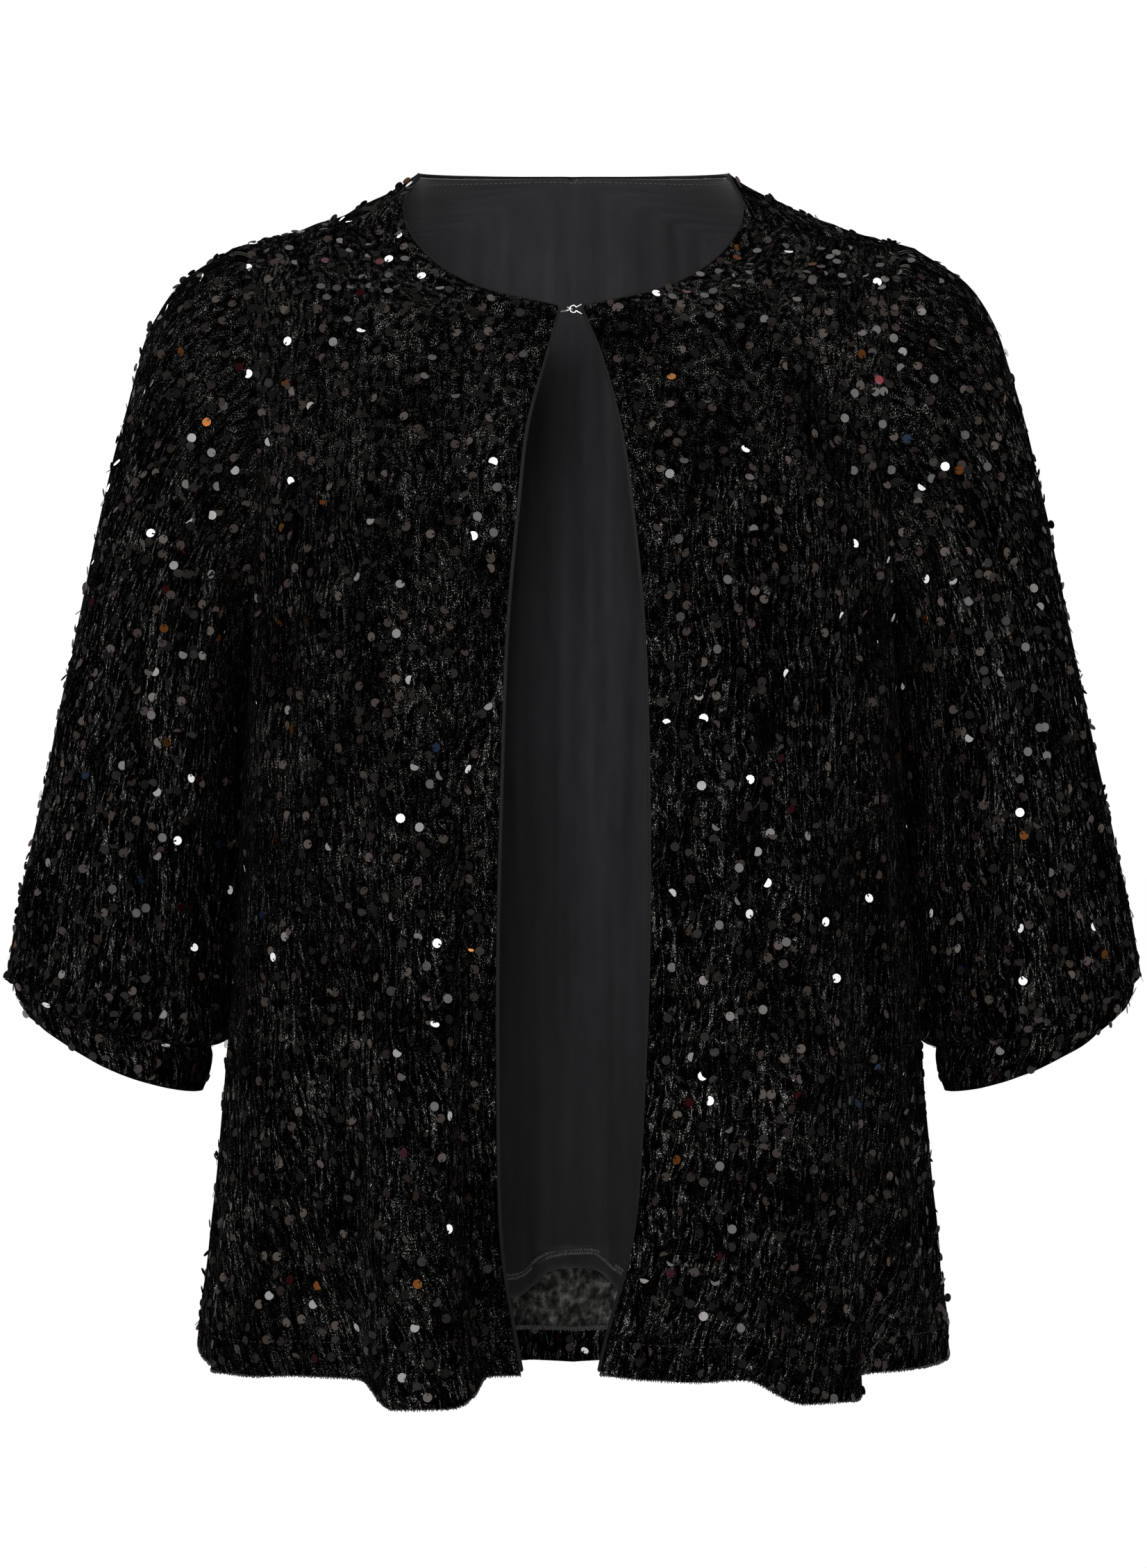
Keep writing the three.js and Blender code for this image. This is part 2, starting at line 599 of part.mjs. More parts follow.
// The rolled edge round the back of the neck, from one forward shoulder seam to the other.
function backNeckEdging() {
  const { points, quads, at } = backSheet(0, BACK_TOP_ROW, COLUMNS, backPoint);
  const inward = inwardOf(points, quads);
  const neckRow = ROWS_BELOW + NECK_BACK_ROW;
  const places = [];
  for (const side of [-1, 1]) {
    const half = [];
    for (let i = neckRow; i <= BACK_TOP_ROW; i += 1) {
      const onShoulder = i >= BACK_TOP_ROW - 1;
      const nextIn = points[onShoulder ? at(side, i, 1) : at(side, i - 1, i === neckRow ? 0 : 1)];
      half.push({ point: points[at(side, i, 0)], nextIn, into: inward[at(side, i, 0)] });
    }
    places.push(...(side < 0 ? half.reverse() : half.slice(1)));
  }
  return edgeStrip(places, () => NECK_EDGE_ROLL, false);
}

// Bent wire through the given points.
function wire(points) {
  const section = new THREE.Shape();
  section.absarc(0, 0, WIRE_RADIUS, 0, Math.PI * 2);
  const path = new THREE.CatmullRomCurve3(points.map(([x, y, z]) => new THREE.Vector3(x, y, z)));
  const options = { steps: WIRE_STEPS, curveSegments: WIRE_SIDES / 2, extrudePath: path, bevelEnabled: false };
  return new THREE.ExtrudeGeometry(section, options);
}

// The eye on the left front: a round loop whose two legs run out to the edge.
function eye() {
  const turns = 10;
  const points = [];
  for (let k = 0; k <= turns; k += 1) {
    const angle = lerp(EYE_OPENING, Math.PI * 2 - EYE_OPENING, k / turns);
    points.push([EYE_RADIUS * Math.cos(angle), FASTENER_Y, FASTENER_Z + EYE_RADIUS * Math.sin(angle)]);
  }
  points.unshift([EYE_LEGS_X, FASTENER_Y, FASTENER_Z + EYE_LEGS_SPREAD]);
  points.push([EYE_LEGS_X, FASTENER_Y, FASTENER_Z - EYE_LEGS_SPREAD]);
  return wire(points);
}

// The hook on the right front: it crosses in front of the loop's near limb, turns down through the loop, and comes
// back behind that limb.
function hook() {
  const clear = 2 * WIRE_RADIUS + SEAM_GAP;
  const bend = -EYE_RADIUS + clear + 0.2;
  const front = FASTENER_Y - clear;
  const behind = FASTENER_Y + clear;
  return wire([
    [HOOK_LEGS_X, FASTENER_Y + 0.6, FASTENER_Z - 1.4],
    [-EYE_RADIUS - 1.6, front, FASTENER_Z - 1],
    [-EYE_RADIUS, front, FASTENER_Z - 0.5],
    [bend, FASTENER_Y, FASTENER_Z],
    [-EYE_RADIUS, behind, FASTENER_Z + 0.5],
    [-EYE_RADIUS - 1.6, behind, FASTENER_Z + 1],
  ]);
}

const cardigan = new THREE.Group();
function add(name, geometry, material) {
  const mesh = new THREE.Mesh(geometry, material);
  mesh.name = name;
  cardigan.add(mesh);
}

const SIDES = [["right", -1], ["left", 1]];
add("back", backPanel(), VELVET);
add("lining_back", backLining(), JERSEY);
add("hem_back", backTurnUp(), VELVET);
add("edging_back_neck", backNeckEdging(), JERSEY);
for (const [name, side] of SIDES) {
  add(`front_${name}`, frontPanel(side), VELVET);
  add(`edging_front_${name}`, frontEdging(side), JERSEY);
  add(`sleeve_${name}`, sleeve(side), VELVET);
  add(`cuff_${name}`, cuff(side), VELVET);
}
add("hook", hook(), STEEL);
add("eye", eye(), STEEL);

export default cardigan;
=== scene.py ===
# %% [markdown]
# # A sequinned velvet cardigan
#
# The garment is a short, open cardigan in crinkled black velvet, strewn with small round sequins. A thin
# jersey lining hangs inside it and is rolled out as a narrow edge along the two fronts and the neck. It is
# filled out as if someone wore it, and one hook and eye holds the fronts together at the throat.
#
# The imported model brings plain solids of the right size. Each of them is replaced here by a fine shell that
# is worked out from the same named sizes, so the shells lie where the solids lie. The solids could instead
# have been subdivided, but a shell that is computed on its own grid also gives every point a place on the
# flat cloth, and the crinkle of the velvet has to follow that.

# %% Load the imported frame
import json
import math

import bpy
import numpy as np
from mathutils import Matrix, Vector

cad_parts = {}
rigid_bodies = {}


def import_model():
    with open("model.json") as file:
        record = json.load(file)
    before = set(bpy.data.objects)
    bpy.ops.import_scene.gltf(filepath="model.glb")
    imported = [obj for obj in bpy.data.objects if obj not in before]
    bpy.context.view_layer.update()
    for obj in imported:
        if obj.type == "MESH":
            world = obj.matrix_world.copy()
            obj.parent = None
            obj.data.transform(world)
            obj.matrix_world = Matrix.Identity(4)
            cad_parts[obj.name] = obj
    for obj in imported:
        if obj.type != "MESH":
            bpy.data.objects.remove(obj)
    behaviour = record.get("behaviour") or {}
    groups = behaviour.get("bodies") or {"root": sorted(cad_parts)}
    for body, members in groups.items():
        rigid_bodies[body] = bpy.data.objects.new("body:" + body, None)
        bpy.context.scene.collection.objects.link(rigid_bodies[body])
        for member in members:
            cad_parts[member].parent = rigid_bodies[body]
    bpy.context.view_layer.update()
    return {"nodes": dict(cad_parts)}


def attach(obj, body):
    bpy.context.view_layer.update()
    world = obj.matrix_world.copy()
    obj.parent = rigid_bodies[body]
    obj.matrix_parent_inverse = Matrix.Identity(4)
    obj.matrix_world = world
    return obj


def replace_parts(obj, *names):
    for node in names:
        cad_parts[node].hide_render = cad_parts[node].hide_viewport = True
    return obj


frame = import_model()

MM = 0.001
print("nodes:", sorted(frame["nodes"]))

# %% [markdown]
# ## Camera, floor and light
#
# The garment was photographed from straight in front, at about its own middle height. The camera stands 2.5
# m away, which gives the slight enlargement of the fronts against the back. A long lens on a portrait frame
# keeps the proportions. The picture's frame is 1652 by 2259 pixels, and one pixel is 0.39 mm at the
# garment's middle.

# %% Camera
FRAME_WIDTH, FRAME_HEIGHT = 1652, 2259
PIXEL = 0.39 * MM
CAMERA_AWAY = 2.5
CAMERA_Z = -0.343
SENSOR = 36.0

view = bpy.data.cameras.new("view")
view.sensor_width = SENSOR
view.lens = SENSOR * CAMERA_AWAY / (FRAME_HEIGHT * PIXEL)
camera = bpy.data.objects.new("view", view)
camera.location = (0, -CAMERA_AWAY, CAMERA_Z)
camera.rotation_euler = (math.pi / 2, 0, 0)
bpy.context.scene.collection.objects.link(camera)
bpy.context.scene.camera = camera
print(f"lens {view.lens:.1f} mm")

# %% [markdown]
# A black cloth is drawn by what it reflects. Three soft boxes in front give the glints of the sequins; the
# one near the camera also shines through the front gap onto the lining. One above and one behind keep the
# shoulders and the back readable. The world is white to the camera, as a paper backdrop is, and dimmer for
# the light that falls on the cloth, so the folds keep their shadows.

# %% Floor, world and soft boxes
FLOOR_Z, FLOOR_RADIUS, FLOOR_SIDES = -1.5, 3.4, 96
SKY_FOR_LIGHT, SKY_FOR_CAMERA = 0.2, 1.0


def soft_box(name, place, target, size, watts):
    """A square area light at place, turned to face target."""
    light = bpy.data.lights.new(name, "AREA")
    light.size = size
    light.energy = watts
    box = bpy.data.objects.new(name, light)
    box.location = place
    box.rotation_euler = (Vector(target) - Vector(place)).to_track_quat("-Z", "Y").to_euler()
    bpy.context.scene.collection.objects.link(box)
    return box


soft_box("key", (-1.25, -2.3, 0.75), (0, 0, -0.3), 0.9, 30)
soft_box("fill", (1.5, -1.9, 0.2), (0, 0, -0.35), 1.1, 18)
soft_box("front", (-0.2, -2.9, 0.0), (0, 0, -0.35), 0.5, 38)
soft_box("top", (0.1, 0.3, 1.7), (0, 0, -0.1), 1.2, 7)
soft_box("behind", (-0.9, 2.4, 0.6), (0, 0, -0.35), 1.2, 46)

world = bpy.data.worlds.new("studio")
world.use_nodes = True
bpy.context.scene.world = world
sky = world.node_tree
sky_path = sky.nodes.new("ShaderNodeLightPath")
sky_level = sky.nodes.new("ShaderNodeMapRange")
sky_level.inputs["To Min"].default_value = SKY_FOR_LIGHT
sky_level.inputs["To Max"].default_value = SKY_FOR_CAMERA
sky.links.new(sky_path.outputs["Is Camera Ray"], sky_level.inputs["Value"])
sky.nodes["Background"].inputs["Color"].default_value = (1, 1, 1, 1)
sky.links.new(sky_level.outputs["Result"], sky.nodes["Background"].inputs["Strength"])
bpy.context.scene.view_settings.view_transform = "Standard"

floor_mesh = bpy.data.meshes.new("floor")
turn = np.linspace(0, 2 * np.pi, FLOOR_SIDES, endpoint=False)
rim = np.stack([FLOOR_RADIUS * np.cos(turn), FLOOR_RADIUS * np.sin(turn), np.full(FLOOR_SIDES, FLOOR_Z)], -1)
floor_mesh.from_pydata(rim.tolist(), [], [list(range(FLOOR_SIDES))])
paint = bpy.data.materials.new("pale_floor")
paint.use_nodes = True
paint.node_tree.nodes["Principled BSDF"].inputs["Base Color"].default_value = (0.62, 0.62, 0.61, 1)
paint.node_tree.nodes["Principled BSDF"].inputs["Roughness"].default_value = 0.8
floor_mesh.materials.append(paint)
floor = bpy.data.objects.new("floor", floor_mesh)
bpy.context.scene.collection.objects.link(floor)

# %% [markdown]
# ## Arithmetic for cloth
#
# Cloth that hangs is smooth from one place to the next, so its shape needs few numbers: a short table of
# widths by height, and a cubic curve through them. These helpers work on whole arrays at once. A table is
# kept as one array for each named column, sorted by its first column, in millimetres.

# %% Curves through short tables


def table(columns, *rows):
    """One array for each named column of the rows, sorted by the first column."""
    values = np.array(sorted(rows), float).T
    return dict(zip(columns.split(), values))


def lerp(a, b, t):
    """The straight way from a to b: a plus t times their difference."""
    return a + (b - a) * t


def ease(x, low, high):
    """Rises from 0 at low to 1 at high and is level at both: 3 t squared minus 2 t cubed."""
    t = np.clip((x - low) / (high - low), 0, 1)
    return t * t * (3 - 2 * t)


def hermite(a, b, leave, arrive, t):
    """The cubic from a to b that leaves and arrives with the given slopes: the four Hermite weights of t."""
    t2, t3 = t * t, t * t * t
    return a * (2 * t3 - 3 * t2 + 1) + b * (3 * t2 - 2 * t3) + leave * (t3 - 2 * t2 + t) + arrive * (t3 - t2)


def read(rows, column, at):
    """A column of a table at any value of its first column: a cubic whose slope at a row is that between its
    two neighbours."""
    key = next(iter(rows.values()))
    value = rows[column]
    last = len(key) - 1
    k = np.arange(last + 1)
    before, after = np.maximum(k - 1, 0), np.minimum(k + 1, last)
    slope = (value[after] - value[before]) / (key[after] - key[before])
    at = np.clip(at, key[0], key[-1])
    i = np.clip(np.searchsorted(key, at) - 1, 0, last - 1)
    span = key[i + 1] - key[i]
    return hermite(value[i], value[i + 1], slope[i] * span, slope[i + 1] * span, (at - key[i]) / span)


def point(x, y, z):
    """Three arrays, or numbers, as one array of points."""
    return np.stack(np.broadcast_arrays(x, y, z), -1).astype(float)


def length_of(vectors):
    return np.linalg.norm(vectors, axis=-1, keepdims=True)


def unit(vectors):
    """Each vector divided by its own length."""
    return vectors / np.maximum(length_of(vectors), 1e-9)


print("ease at a quarter:", float(ease(0.25, 0, 1)))

# %% [markdown]
# ## The cut of the body
#
# The numbers are the garment's own: half its width at the side seam and the depth of the back by height, the
# two front edges, the neckline, and the armhole, which is an upright oval. A row of cloth is a cubic from
# the middle to the side seam, or from the neckline to the armhole. row runs from 0 at the hem to 1 at the
# underarm and on to 2 at the top of the shoulder, and share from 0 at the middle to 1 at the side.

# %% Sizes and tables of the body
VELVET_WALL, LINING_WALL, SEAM_GAP = 1.6, 1.0, 0.3
HEM_TURN_UP, HEM_TURN_UP_WALL = 18.5, 1.2
FRONT_EDGE_ROLL, NECK_EDGE_ROLL = 2.1, 1.5
SIDE_HEM_Z, BACK_HEM_Z, UNDERARM_Z, BUST_Z = -664, -689, -255, -262
NECK_FRONT_Z, NECK_BACK_Z = -84, 5
ARMHOLE_MIDDLE_Y, ARMHOLE_MIDDLE_Z, ARMHOLE_HALF_HEIGHT = 2, -148.5, 106.5
ARMHOLE_FRONT_DEPTH, ARMHOLE_BACK_DEPTH = 72, 70
ARMHOLE_WAIST_X, SHOULDER_TIP_OUT, UNDERARM_OUT, UNDERARM_RIM_TURN = 172, 19, 9, 2.5
FRONT_FULLNESS, BACK_FULLNESS = 1.76, 1.72
BUST_DRAPE, BUST_X, BUST_SPREAD, BUST_TOP_Z, BUST_FULL_Z = 13, 92, 46, -105, -235
BUST_FROM_EDGE, BUST_TO_SIDE = 0.12, 0.75
ARMHOLE_OUTWARDS, STRAIGHT_FROM = 0.8, 0.5
SHOULDER_STEEP_AT_NECK, SHOULDER_STEEP_AT_ARM = 1.7, 0.7
ROWS_ABOVE = 13
NECK_FRONT_ROW, NECK_BACK_ROW, SEAM_ROW = 1 + 8 / ROWS_ABOVE, 1 + 10 / ROWS_ABOVE, 1 + 12 / ROWS_ABOVE

FRONT_EDGES = table(
    "z right left forward",
    (-654, 27.5, 13.5, 161), (-632, 31.5, 18.5, 160), (-599, 37, 28, 159), (-570, 39.5, 33.5, 158),
    (-510, 40.5, 37.5, 156), (-426, 40.5, 40.5, 154), (-343, 38.5, 40.5, 152), (-260, 35.5, 38, 148),
    (-191, 29.5, 31.5, 137), (-150, 25, 25.5, 121), (-110, 14.5, 15, 101), (-84, 7.5, 4.5, 90),
)
BODY = table(
    "z side back",
    (-690, 213, 151), (-600, 204, 144), (-500, 194.5, 137), (-400, 188, 131), (-300, 183, 126),
    (-255, 180.5, 123), (-180, 180, 114), (-100, 180, 99), (-40, 180, 79), (5, 180, 58),
)
NECKLINE = table(
    "along x y z",
    (0, 7, -90, -84), (0.33, 52, -75, -71.5), (0.6, 81, -46, -51), (0.82, 95.5, -20, -24), (1, 88, 9, 1),
)
FOLD_COLUMNS = "at inner outer depth lean drop top"
FRONT_RIGHT_FOLDS = table(
    FOLD_COLUMNS, (0.19, 0.14, 0.11, 30, 0.42, 11, 0.95), (0.6, 0.17, 0.15, 9, 0, 1, 1.3)
)
FRONT_LEFT_FOLDS = table(
    FOLD_COLUMNS, (0.4, 0.16, 0.11, 30, 0.42, 9, 0.95), (0.1, 0.1, 0.13, 5, 0, 1, 1.2)
)
BACK_FOLDS = table(
    FOLD_COLUMNS, (0, 0.16, 0.16, 20, 0, 0, 0.9), (0.47, 0.15, 0.13, 24, 0.25, 4, 1.0),
    (0.8, 0.12, 0.12, 10, 0, 2, 0.9),
)
FOLD_FLAT, FOLD_FADE, FOLD_TURN = 0.35, 1.5, 1.35
CORNER_RISE, CORNER_SPREAD, CORNER_HIGH = 19, 0.08, 0.16
print("hem to shoulder:", NECKLINE["z"][-1] - FRONT_EDGES["z"][0], "mm")

# %% The surface of the body


def armhole(up, face):
    """An oval: its height is the sine of the angle, its depth the cosine, and it stands out by the sine
    squared."""
    angle = np.pi * (up - 0.5)
    rise = np.sin(angle)
    out = np.where(rise > 0, SHOULDER_TIP_OUT, UNDERARM_OUT)
    depth = ARMHOLE_FRONT_DEPTH if face < 0 else ARMHOLE_BACK_DEPTH
    return point(
        ARMHOLE_WAIST_X + out * rise**2,
        ARMHOLE_MIDDLE_Y + face * depth * np.cos(angle),
        ARMHOLE_MIDDLE_Z + ARMHOLE_HALF_HEIGHT * rise,
    )


def row_end(row, face):
    """Where a row ends: on the side seam up to the underarm, and on the armhole above it."""
    z = lerp(SIDE_HEM_Z, UNDERARM_Z, np.minimum(row, 1))
    seam = point(read(BODY, "side", z), ARMHOLE_MIDDLE_Y, z)
    return np.where(row[..., None] > 1, armhole(np.maximum(row - 1, 0), face), seam)


def front_start(side, row):
    """Where a row of a front starts: up the open edge by its table, then along the neckline by its own."""
    name = "right" if side < 0 else "left"
    up = (row - 1) / (NECK_FRONT_ROW - 1)
    z = np.where(row <= 1, lerp(FRONT_EDGES["z"][0], BUST_Z, row), lerp(BUST_Z, NECK_FRONT_Z, up))
    edge = point(read(FRONT_EDGES, name, z), -read(FRONT_EDGES, "forward", z), z)
    along = np.clip((row - NECK_FRONT_ROW) / (2 - NECK_FRONT_ROW), 0, 1)
    tip = (FRONT_EDGES[name][-1] - NECKLINE["x"][0]) * (1 - along) ** 3
    neck = point(*(read(NECKLINE, c, along) for c in "xyz")) + point(tip, 0, 0)
    return np.where(row[..., None] <= NECK_FRONT_ROW, edge, neck)


def back_start(row):
    """Where a row of the back starts: up its middle, then round a quarter turn of the back of the neck."""
    up = (row - 1) / (NECK_BACK_ROW - 1)
    z = np.where(row <= 1, lerp(BACK_HEM_Z, BUST_Z, row), lerp(BUST_Z, NECK_BACK_Z, up))
    middle = point(0, read(BODY, "back", z), z)
    turn = np.pi / 2 * np.clip((row - NECK_BACK_ROW) / (2 - NECK_BACK_ROW), 0, 1)
    top_x, top_y, top_z = (NECKLINE[c][-1] for c in "xyz")
    nape = read(BODY, "back", NECK_BACK_Z)
    sine, cosine = np.sin(turn), np.cos(turn)
    neck = point(top_x * sine, top_y + (nape - top_y) * cosine, lerp(NECK_BACK_Z, top_z, 1 - cosine))
    return np.where(row[..., None] <= NECK_BACK_ROW, middle, neck)


def standing_folds(face, side, share, row):
    """How the hem's standing folds move a point. Each is flat in its middle and eased down on both sides, and
    fades with height as the power 1.5 of what is left; its direction turns from the middle to the side."""
    folds = BACK_FOLDS if face > 0 else FRONT_RIGHT_FOLDS if side < 0 else FRONT_LEFT_FOLDS
    angle = share * FOLD_TURN
    facing = point(np.sin(angle), face * np.cos(angle), 0)
    along = point(-np.cos(angle), face * np.sin(angle), 0)
    moved = np.zeros(facing.shape)
    for at, inner, outer, depth, lean, drop, top in zip(*(folds[c] for c in FOLD_COLUMNS.split())):
        across = np.minimum(np.abs(share - at) / np.where(share < at, inner, outer), 1)
        fade = np.maximum(1 - row / top, 0) ** FOLD_FADE
        out = ((1 - ease(across, FOLD_FLAT, 1)) * fade)[..., None]
        moved += out * (depth * facing + depth * lean * along) - out * np.array([0, 0, drop])
    return moved


def body(face, side, share, row, folded=True):
    """The outer face of the body, on the wearer's left before it is mirrored. A row is a cubic between its
    two ends: it leaves straight across and arrives straight back, and near the shoulder it straightens. The
    hem is drawn up a little in a bell curve round each side seam, which rounds its corner."""
    share, row = np.broadcast_arrays(share, row)
    start = front_start(side, row) if face < 0 else back_start(row)
    end = row_end(row, face)
    way = end - start
    full = FRONT_FULLNESS if face < 0 else BACK_FULLNESS
    above = np.maximum(row - 1, 0)
    straight = ease(above, STRAIGHT_FROM, 1)[..., None]
    outwards = ARMHOLE_OUTWARDS * ease(above, 0, STRAIGHT_FROM)
    x, y, z = way[..., 0], way[..., 1], way[..., 2]
    leave = lerp(point(full * x, 0, z), point(x, y, SHOULDER_STEEP_AT_NECK * z), straight)
    arrive = lerp(point(outwards * x, full * y, z), point(x, y, SHOULDER_STEEP_AT_ARM * z), straight)
    p = hermite(start, end, leave, arrive, share[..., None])
    if face < 0:
        across = np.exp(-(((p[..., 0] - BUST_X) / BUST_SPREAD) ** 2))
        below = 1 - ease(p[..., 2], BUST_FULL_Z, BUST_TOP_Z)
        inwards = 1 - ease(share, BUST_TO_SIDE, 1)
        p[..., 1] -= BUST_DRAPE * across * below * ease(share, 0, BUST_FROM_EDGE) * inwards
    if folded:
        p += standing_folds(face, side, share, row)
        corner = np.exp(-(((1 - share) / CORNER_SPREAD) ** 2)) * (1 - ease(row, 0, CORNER_HIGH))
        p[..., 2] += CORNER_RISE * corner
    return p


def mirrored(points, side):
    """The wearer's right is the same shape with x turned round."""
    return points * np.array([side, 1, 1])


print("underarm:", body(-1, 1, np.array([1.0]), np.array([1.0])).round(1))

# %% [markdown]
# ## The cut of the sleeve
#
# The sleeve is a balloon: it leaves the armhole, widens a little towards the elbow, and tucks under onto a
# narrower cuff. A ring is an oval between an outer and an inner line, and the rings follow a short table.
# Near the armhole each ring is pulled onto the armhole's own oval, so that the seam meets the body all
# round.

# %% Sizes and rings of the sleeve
SLEEVE = table(
    "along outX outZ inX inZ depth",
    (0, 191, -42, 181.4, -255, 71), (0.08, 218, -60, 183.5, -268, 71), (0.13, 232, -78, 184.5, -277, 71),
    (0.2, 242, -101, 185.5, -290, 71), (0.3, 255, -150, 187.5, -312, 72), (0.45, 270, -213, 189.5, -346, 74),
    (0.6, 283, -277, 191.5, -383, 76), (0.75, 296, -342, 193.5, -421, 78), (0.9, 311, -408, 196, -461, 77),
    (1, 318, -446, 198, -484, 72),
)
SLEEVE_FRONT_DROP, SLEEVE_DROP_FROM, SLEEVE_SEAM_FADE = 7, 0.55, 4
TUCK_RING = dict(outX=314, outZ=-450, inX=203.5, inZ=-489.5, depth=64)
CUFF_HEM_RING = dict(outX=309.5, outZ=-467, inX=208.5, inZ=-515, depth=56)
CUFF_GATHERS, CUFF_GATHER_DEPTH, CUFF_GATHER_FROM = 6, 1.6, 0.72


def ring_point(ring, turn, front_drop):
    """An oval round the arm: from the inner line over the front to the outer line and back behind. turn is in
    whole turns; the height along the oval is minus its cosine and the depth minus its sine."""
    rise = -np.cos(2 * np.pi * turn)
    deep = -np.sin(2 * np.pi * turn)
    x = lerp(ring["inX"], ring["outX"], (1 + rise) / 2)
    z = lerp(ring["inZ"], ring["outZ"], (1 + rise) / 2) - front_drop * deep**2
    return point(x, ring["depth"] * deep, z)


def sleeve_surface(along, turn):
    """The outer face of the sleeve from the armhole, along 0, to its fullest ring, along 1. The difference
    between armhole and first ring fades out as the fourth power of what is left."""
    along, turn = np.broadcast_arrays(along, turn)
    ring = {c: read(SLEEVE, c, along) for c in SLEEVE if c != "along"}
    p = ring_point(ring, turn, SLEEVE_FRONT_DROP * ease(along, SLEEVE_DROP_FROM, 1))
    up = 1 - np.abs(2 * turn - 1)
    seam = np.where((turn <= 0.5)[..., None], armhole(up, -1), armhole(up, 1))
    first = ring_point({c: SLEEVE[c][0] for c in ring}, turn, 0)
    p += (seam - first) * (1 - along[..., None]) ** SLEEVE_SEAM_FADE
    gather = CUFF_GATHER_DEPTH * ease(along, CUFF_GATHER_FROM, 1)
    gather = gather * np.cos(CUFF_GATHERS * (2 * np.pi * turn - np.pi / 2))
    middle = point((ring["inX"] + ring["outX"]) / 2, 0, (ring["inZ"] + ring["outZ"]) / 2)
    return p + gather[..., None] * unit(p - middle)


def ring_below(ring, distance):
    """The same ring moved on along the arm, square to its own plane."""
    x, z = ring["outX"] - ring["inX"], ring["outZ"] - ring["inZ"]
    step_x, step_z = distance * z / math.hypot(x, z), -distance * x / math.hypot(x, z)
    moved = dict(ring)
    for end in ("out", "in"):
        moved[end + "X"] += step_x
        moved[end + "Z"] += step_z
    return moved


print("sleeve at the elbow:", sleeve_surface(np.array([0.5]), np.array([0.5])).round(1))

# %% [markdown]
# ## From a grid to a piece of cloth
#
# A piece of cloth is a grid of points with an inner copy behind it and a rim along each open edge, so it is
# a closed thin wall, as the solid is. Each point also gets its place on the flat cloth, in metres, as a UV
# map: how far it lies across and along, measured on the surface. Patterns that read this map follow the
# cloth round every bend. Blender's Solidify could add the thickness, but the rims at the seams have to run
# the same way in both pieces of a seam, so the inner copy is computed here.

# %% Normals, lengths and walls of a grid


def normals_of(points, turned, around=False):
    """The cross product of the steps across and along the grid, pointing out of the cloth."""
    if around:
        points = np.concatenate([points[:, -1:], points, points[:, :1]], 1)
    normal = unit(np.cross(np.gradient(points, axis=1), np.gradient(points, axis=0)))
    normal = normal[:, 1:-1] if around else normal
    return -normal if turned else normal


def flat_places(points, around=False):
    """Each point's place on the flat cloth: the summed steps across its row and along its column."""
    ring = np.concatenate([points, points[:, :1]], 1) if around else points
    across = np.cumsum(length_of(np.diff(ring, axis=1, prepend=ring[:, :1]))[..., 0], 1)
    along = np.cumsum(length_of(np.diff(ring, axis=0, prepend=ring[:1]))[..., 0], 0)
    return np.stack([across, along], -1) * MM


def upright_places(points, places, first_high):
    """Above the underarm row the grid fans out round the neck, but the cloth's grain runs straight up. So
    there the place across is read from the underarm row at the same x."""
    low_x, low_across = np.abs(points[first_high, :, 0]), np.abs(places[first_high, :, 0])
    x = np.abs(points[first_high:, :, 0])
    before = np.minimum(x - low_x[0], 0) * MM
    across = np.interp(x, low_x, low_across) + before
    result = places.copy()
    result[first_high:, :, 0] = across * np.where(places[first_high, -1, 0] < 0, -1, 1)
    return result


def cells_of(grid):
    """The four corners of every cell of a grid: of vertex numbers, or of flat places."""
    corners = [grid[:-1, :-1], grid[:-1, 1:], grid[1:, 1:], grid[1:, :-1]]
    stacked = np.stack(corners, 2)
    return stacked.reshape(-1, *stacked.shape[2:])


def mesh_object(
    name, vertices, corners, starts, uv=None, values=None, materials=(), material_index=None, smooth=True
):
    """A mesh from arrays: corners lists the vertex of every face corner and starts where each face begins."""
    mesh = bpy.data.meshes.new(name)
    mesh.vertices.add(len(vertices))
    mesh.vertices.foreach_set("co", (vertices * MM).astype(np.float32).ravel())
    mesh.loops.add(len(corners))
    mesh.loops.foreach_set("vertex_index", corners.astype(np.int32))
    mesh.polygons.add(len(starts))
    mesh.polygons.foreach_set("loop_start", starts.astype(np.int32))
    mesh.polygons.foreach_set("use_smooth", np.full(len(starts), smooth))
    for material in materials:
        mesh.materials.append(material)
    if material_index is not None:
        mesh.polygons.foreach_set("material_index", material_index.astype(np.int32))
    if uv is not None:
        mesh.uv_layers.new(name="cloth").data.foreach_set("uv", uv.astype(np.float32).ravel())
    for title, data in (values or {}).items():
        attribute = mesh.attributes.new(title, "FLOAT", "POINT")
        attribute.data.foreach_set("value", data.astype(np.float32).ravel())
    mesh.update(calc_edges=True)
    obj = bpy.data.objects.new(name, mesh)
    bpy.context.scene.collection.objects.link(obj)
    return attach(obj, "root")


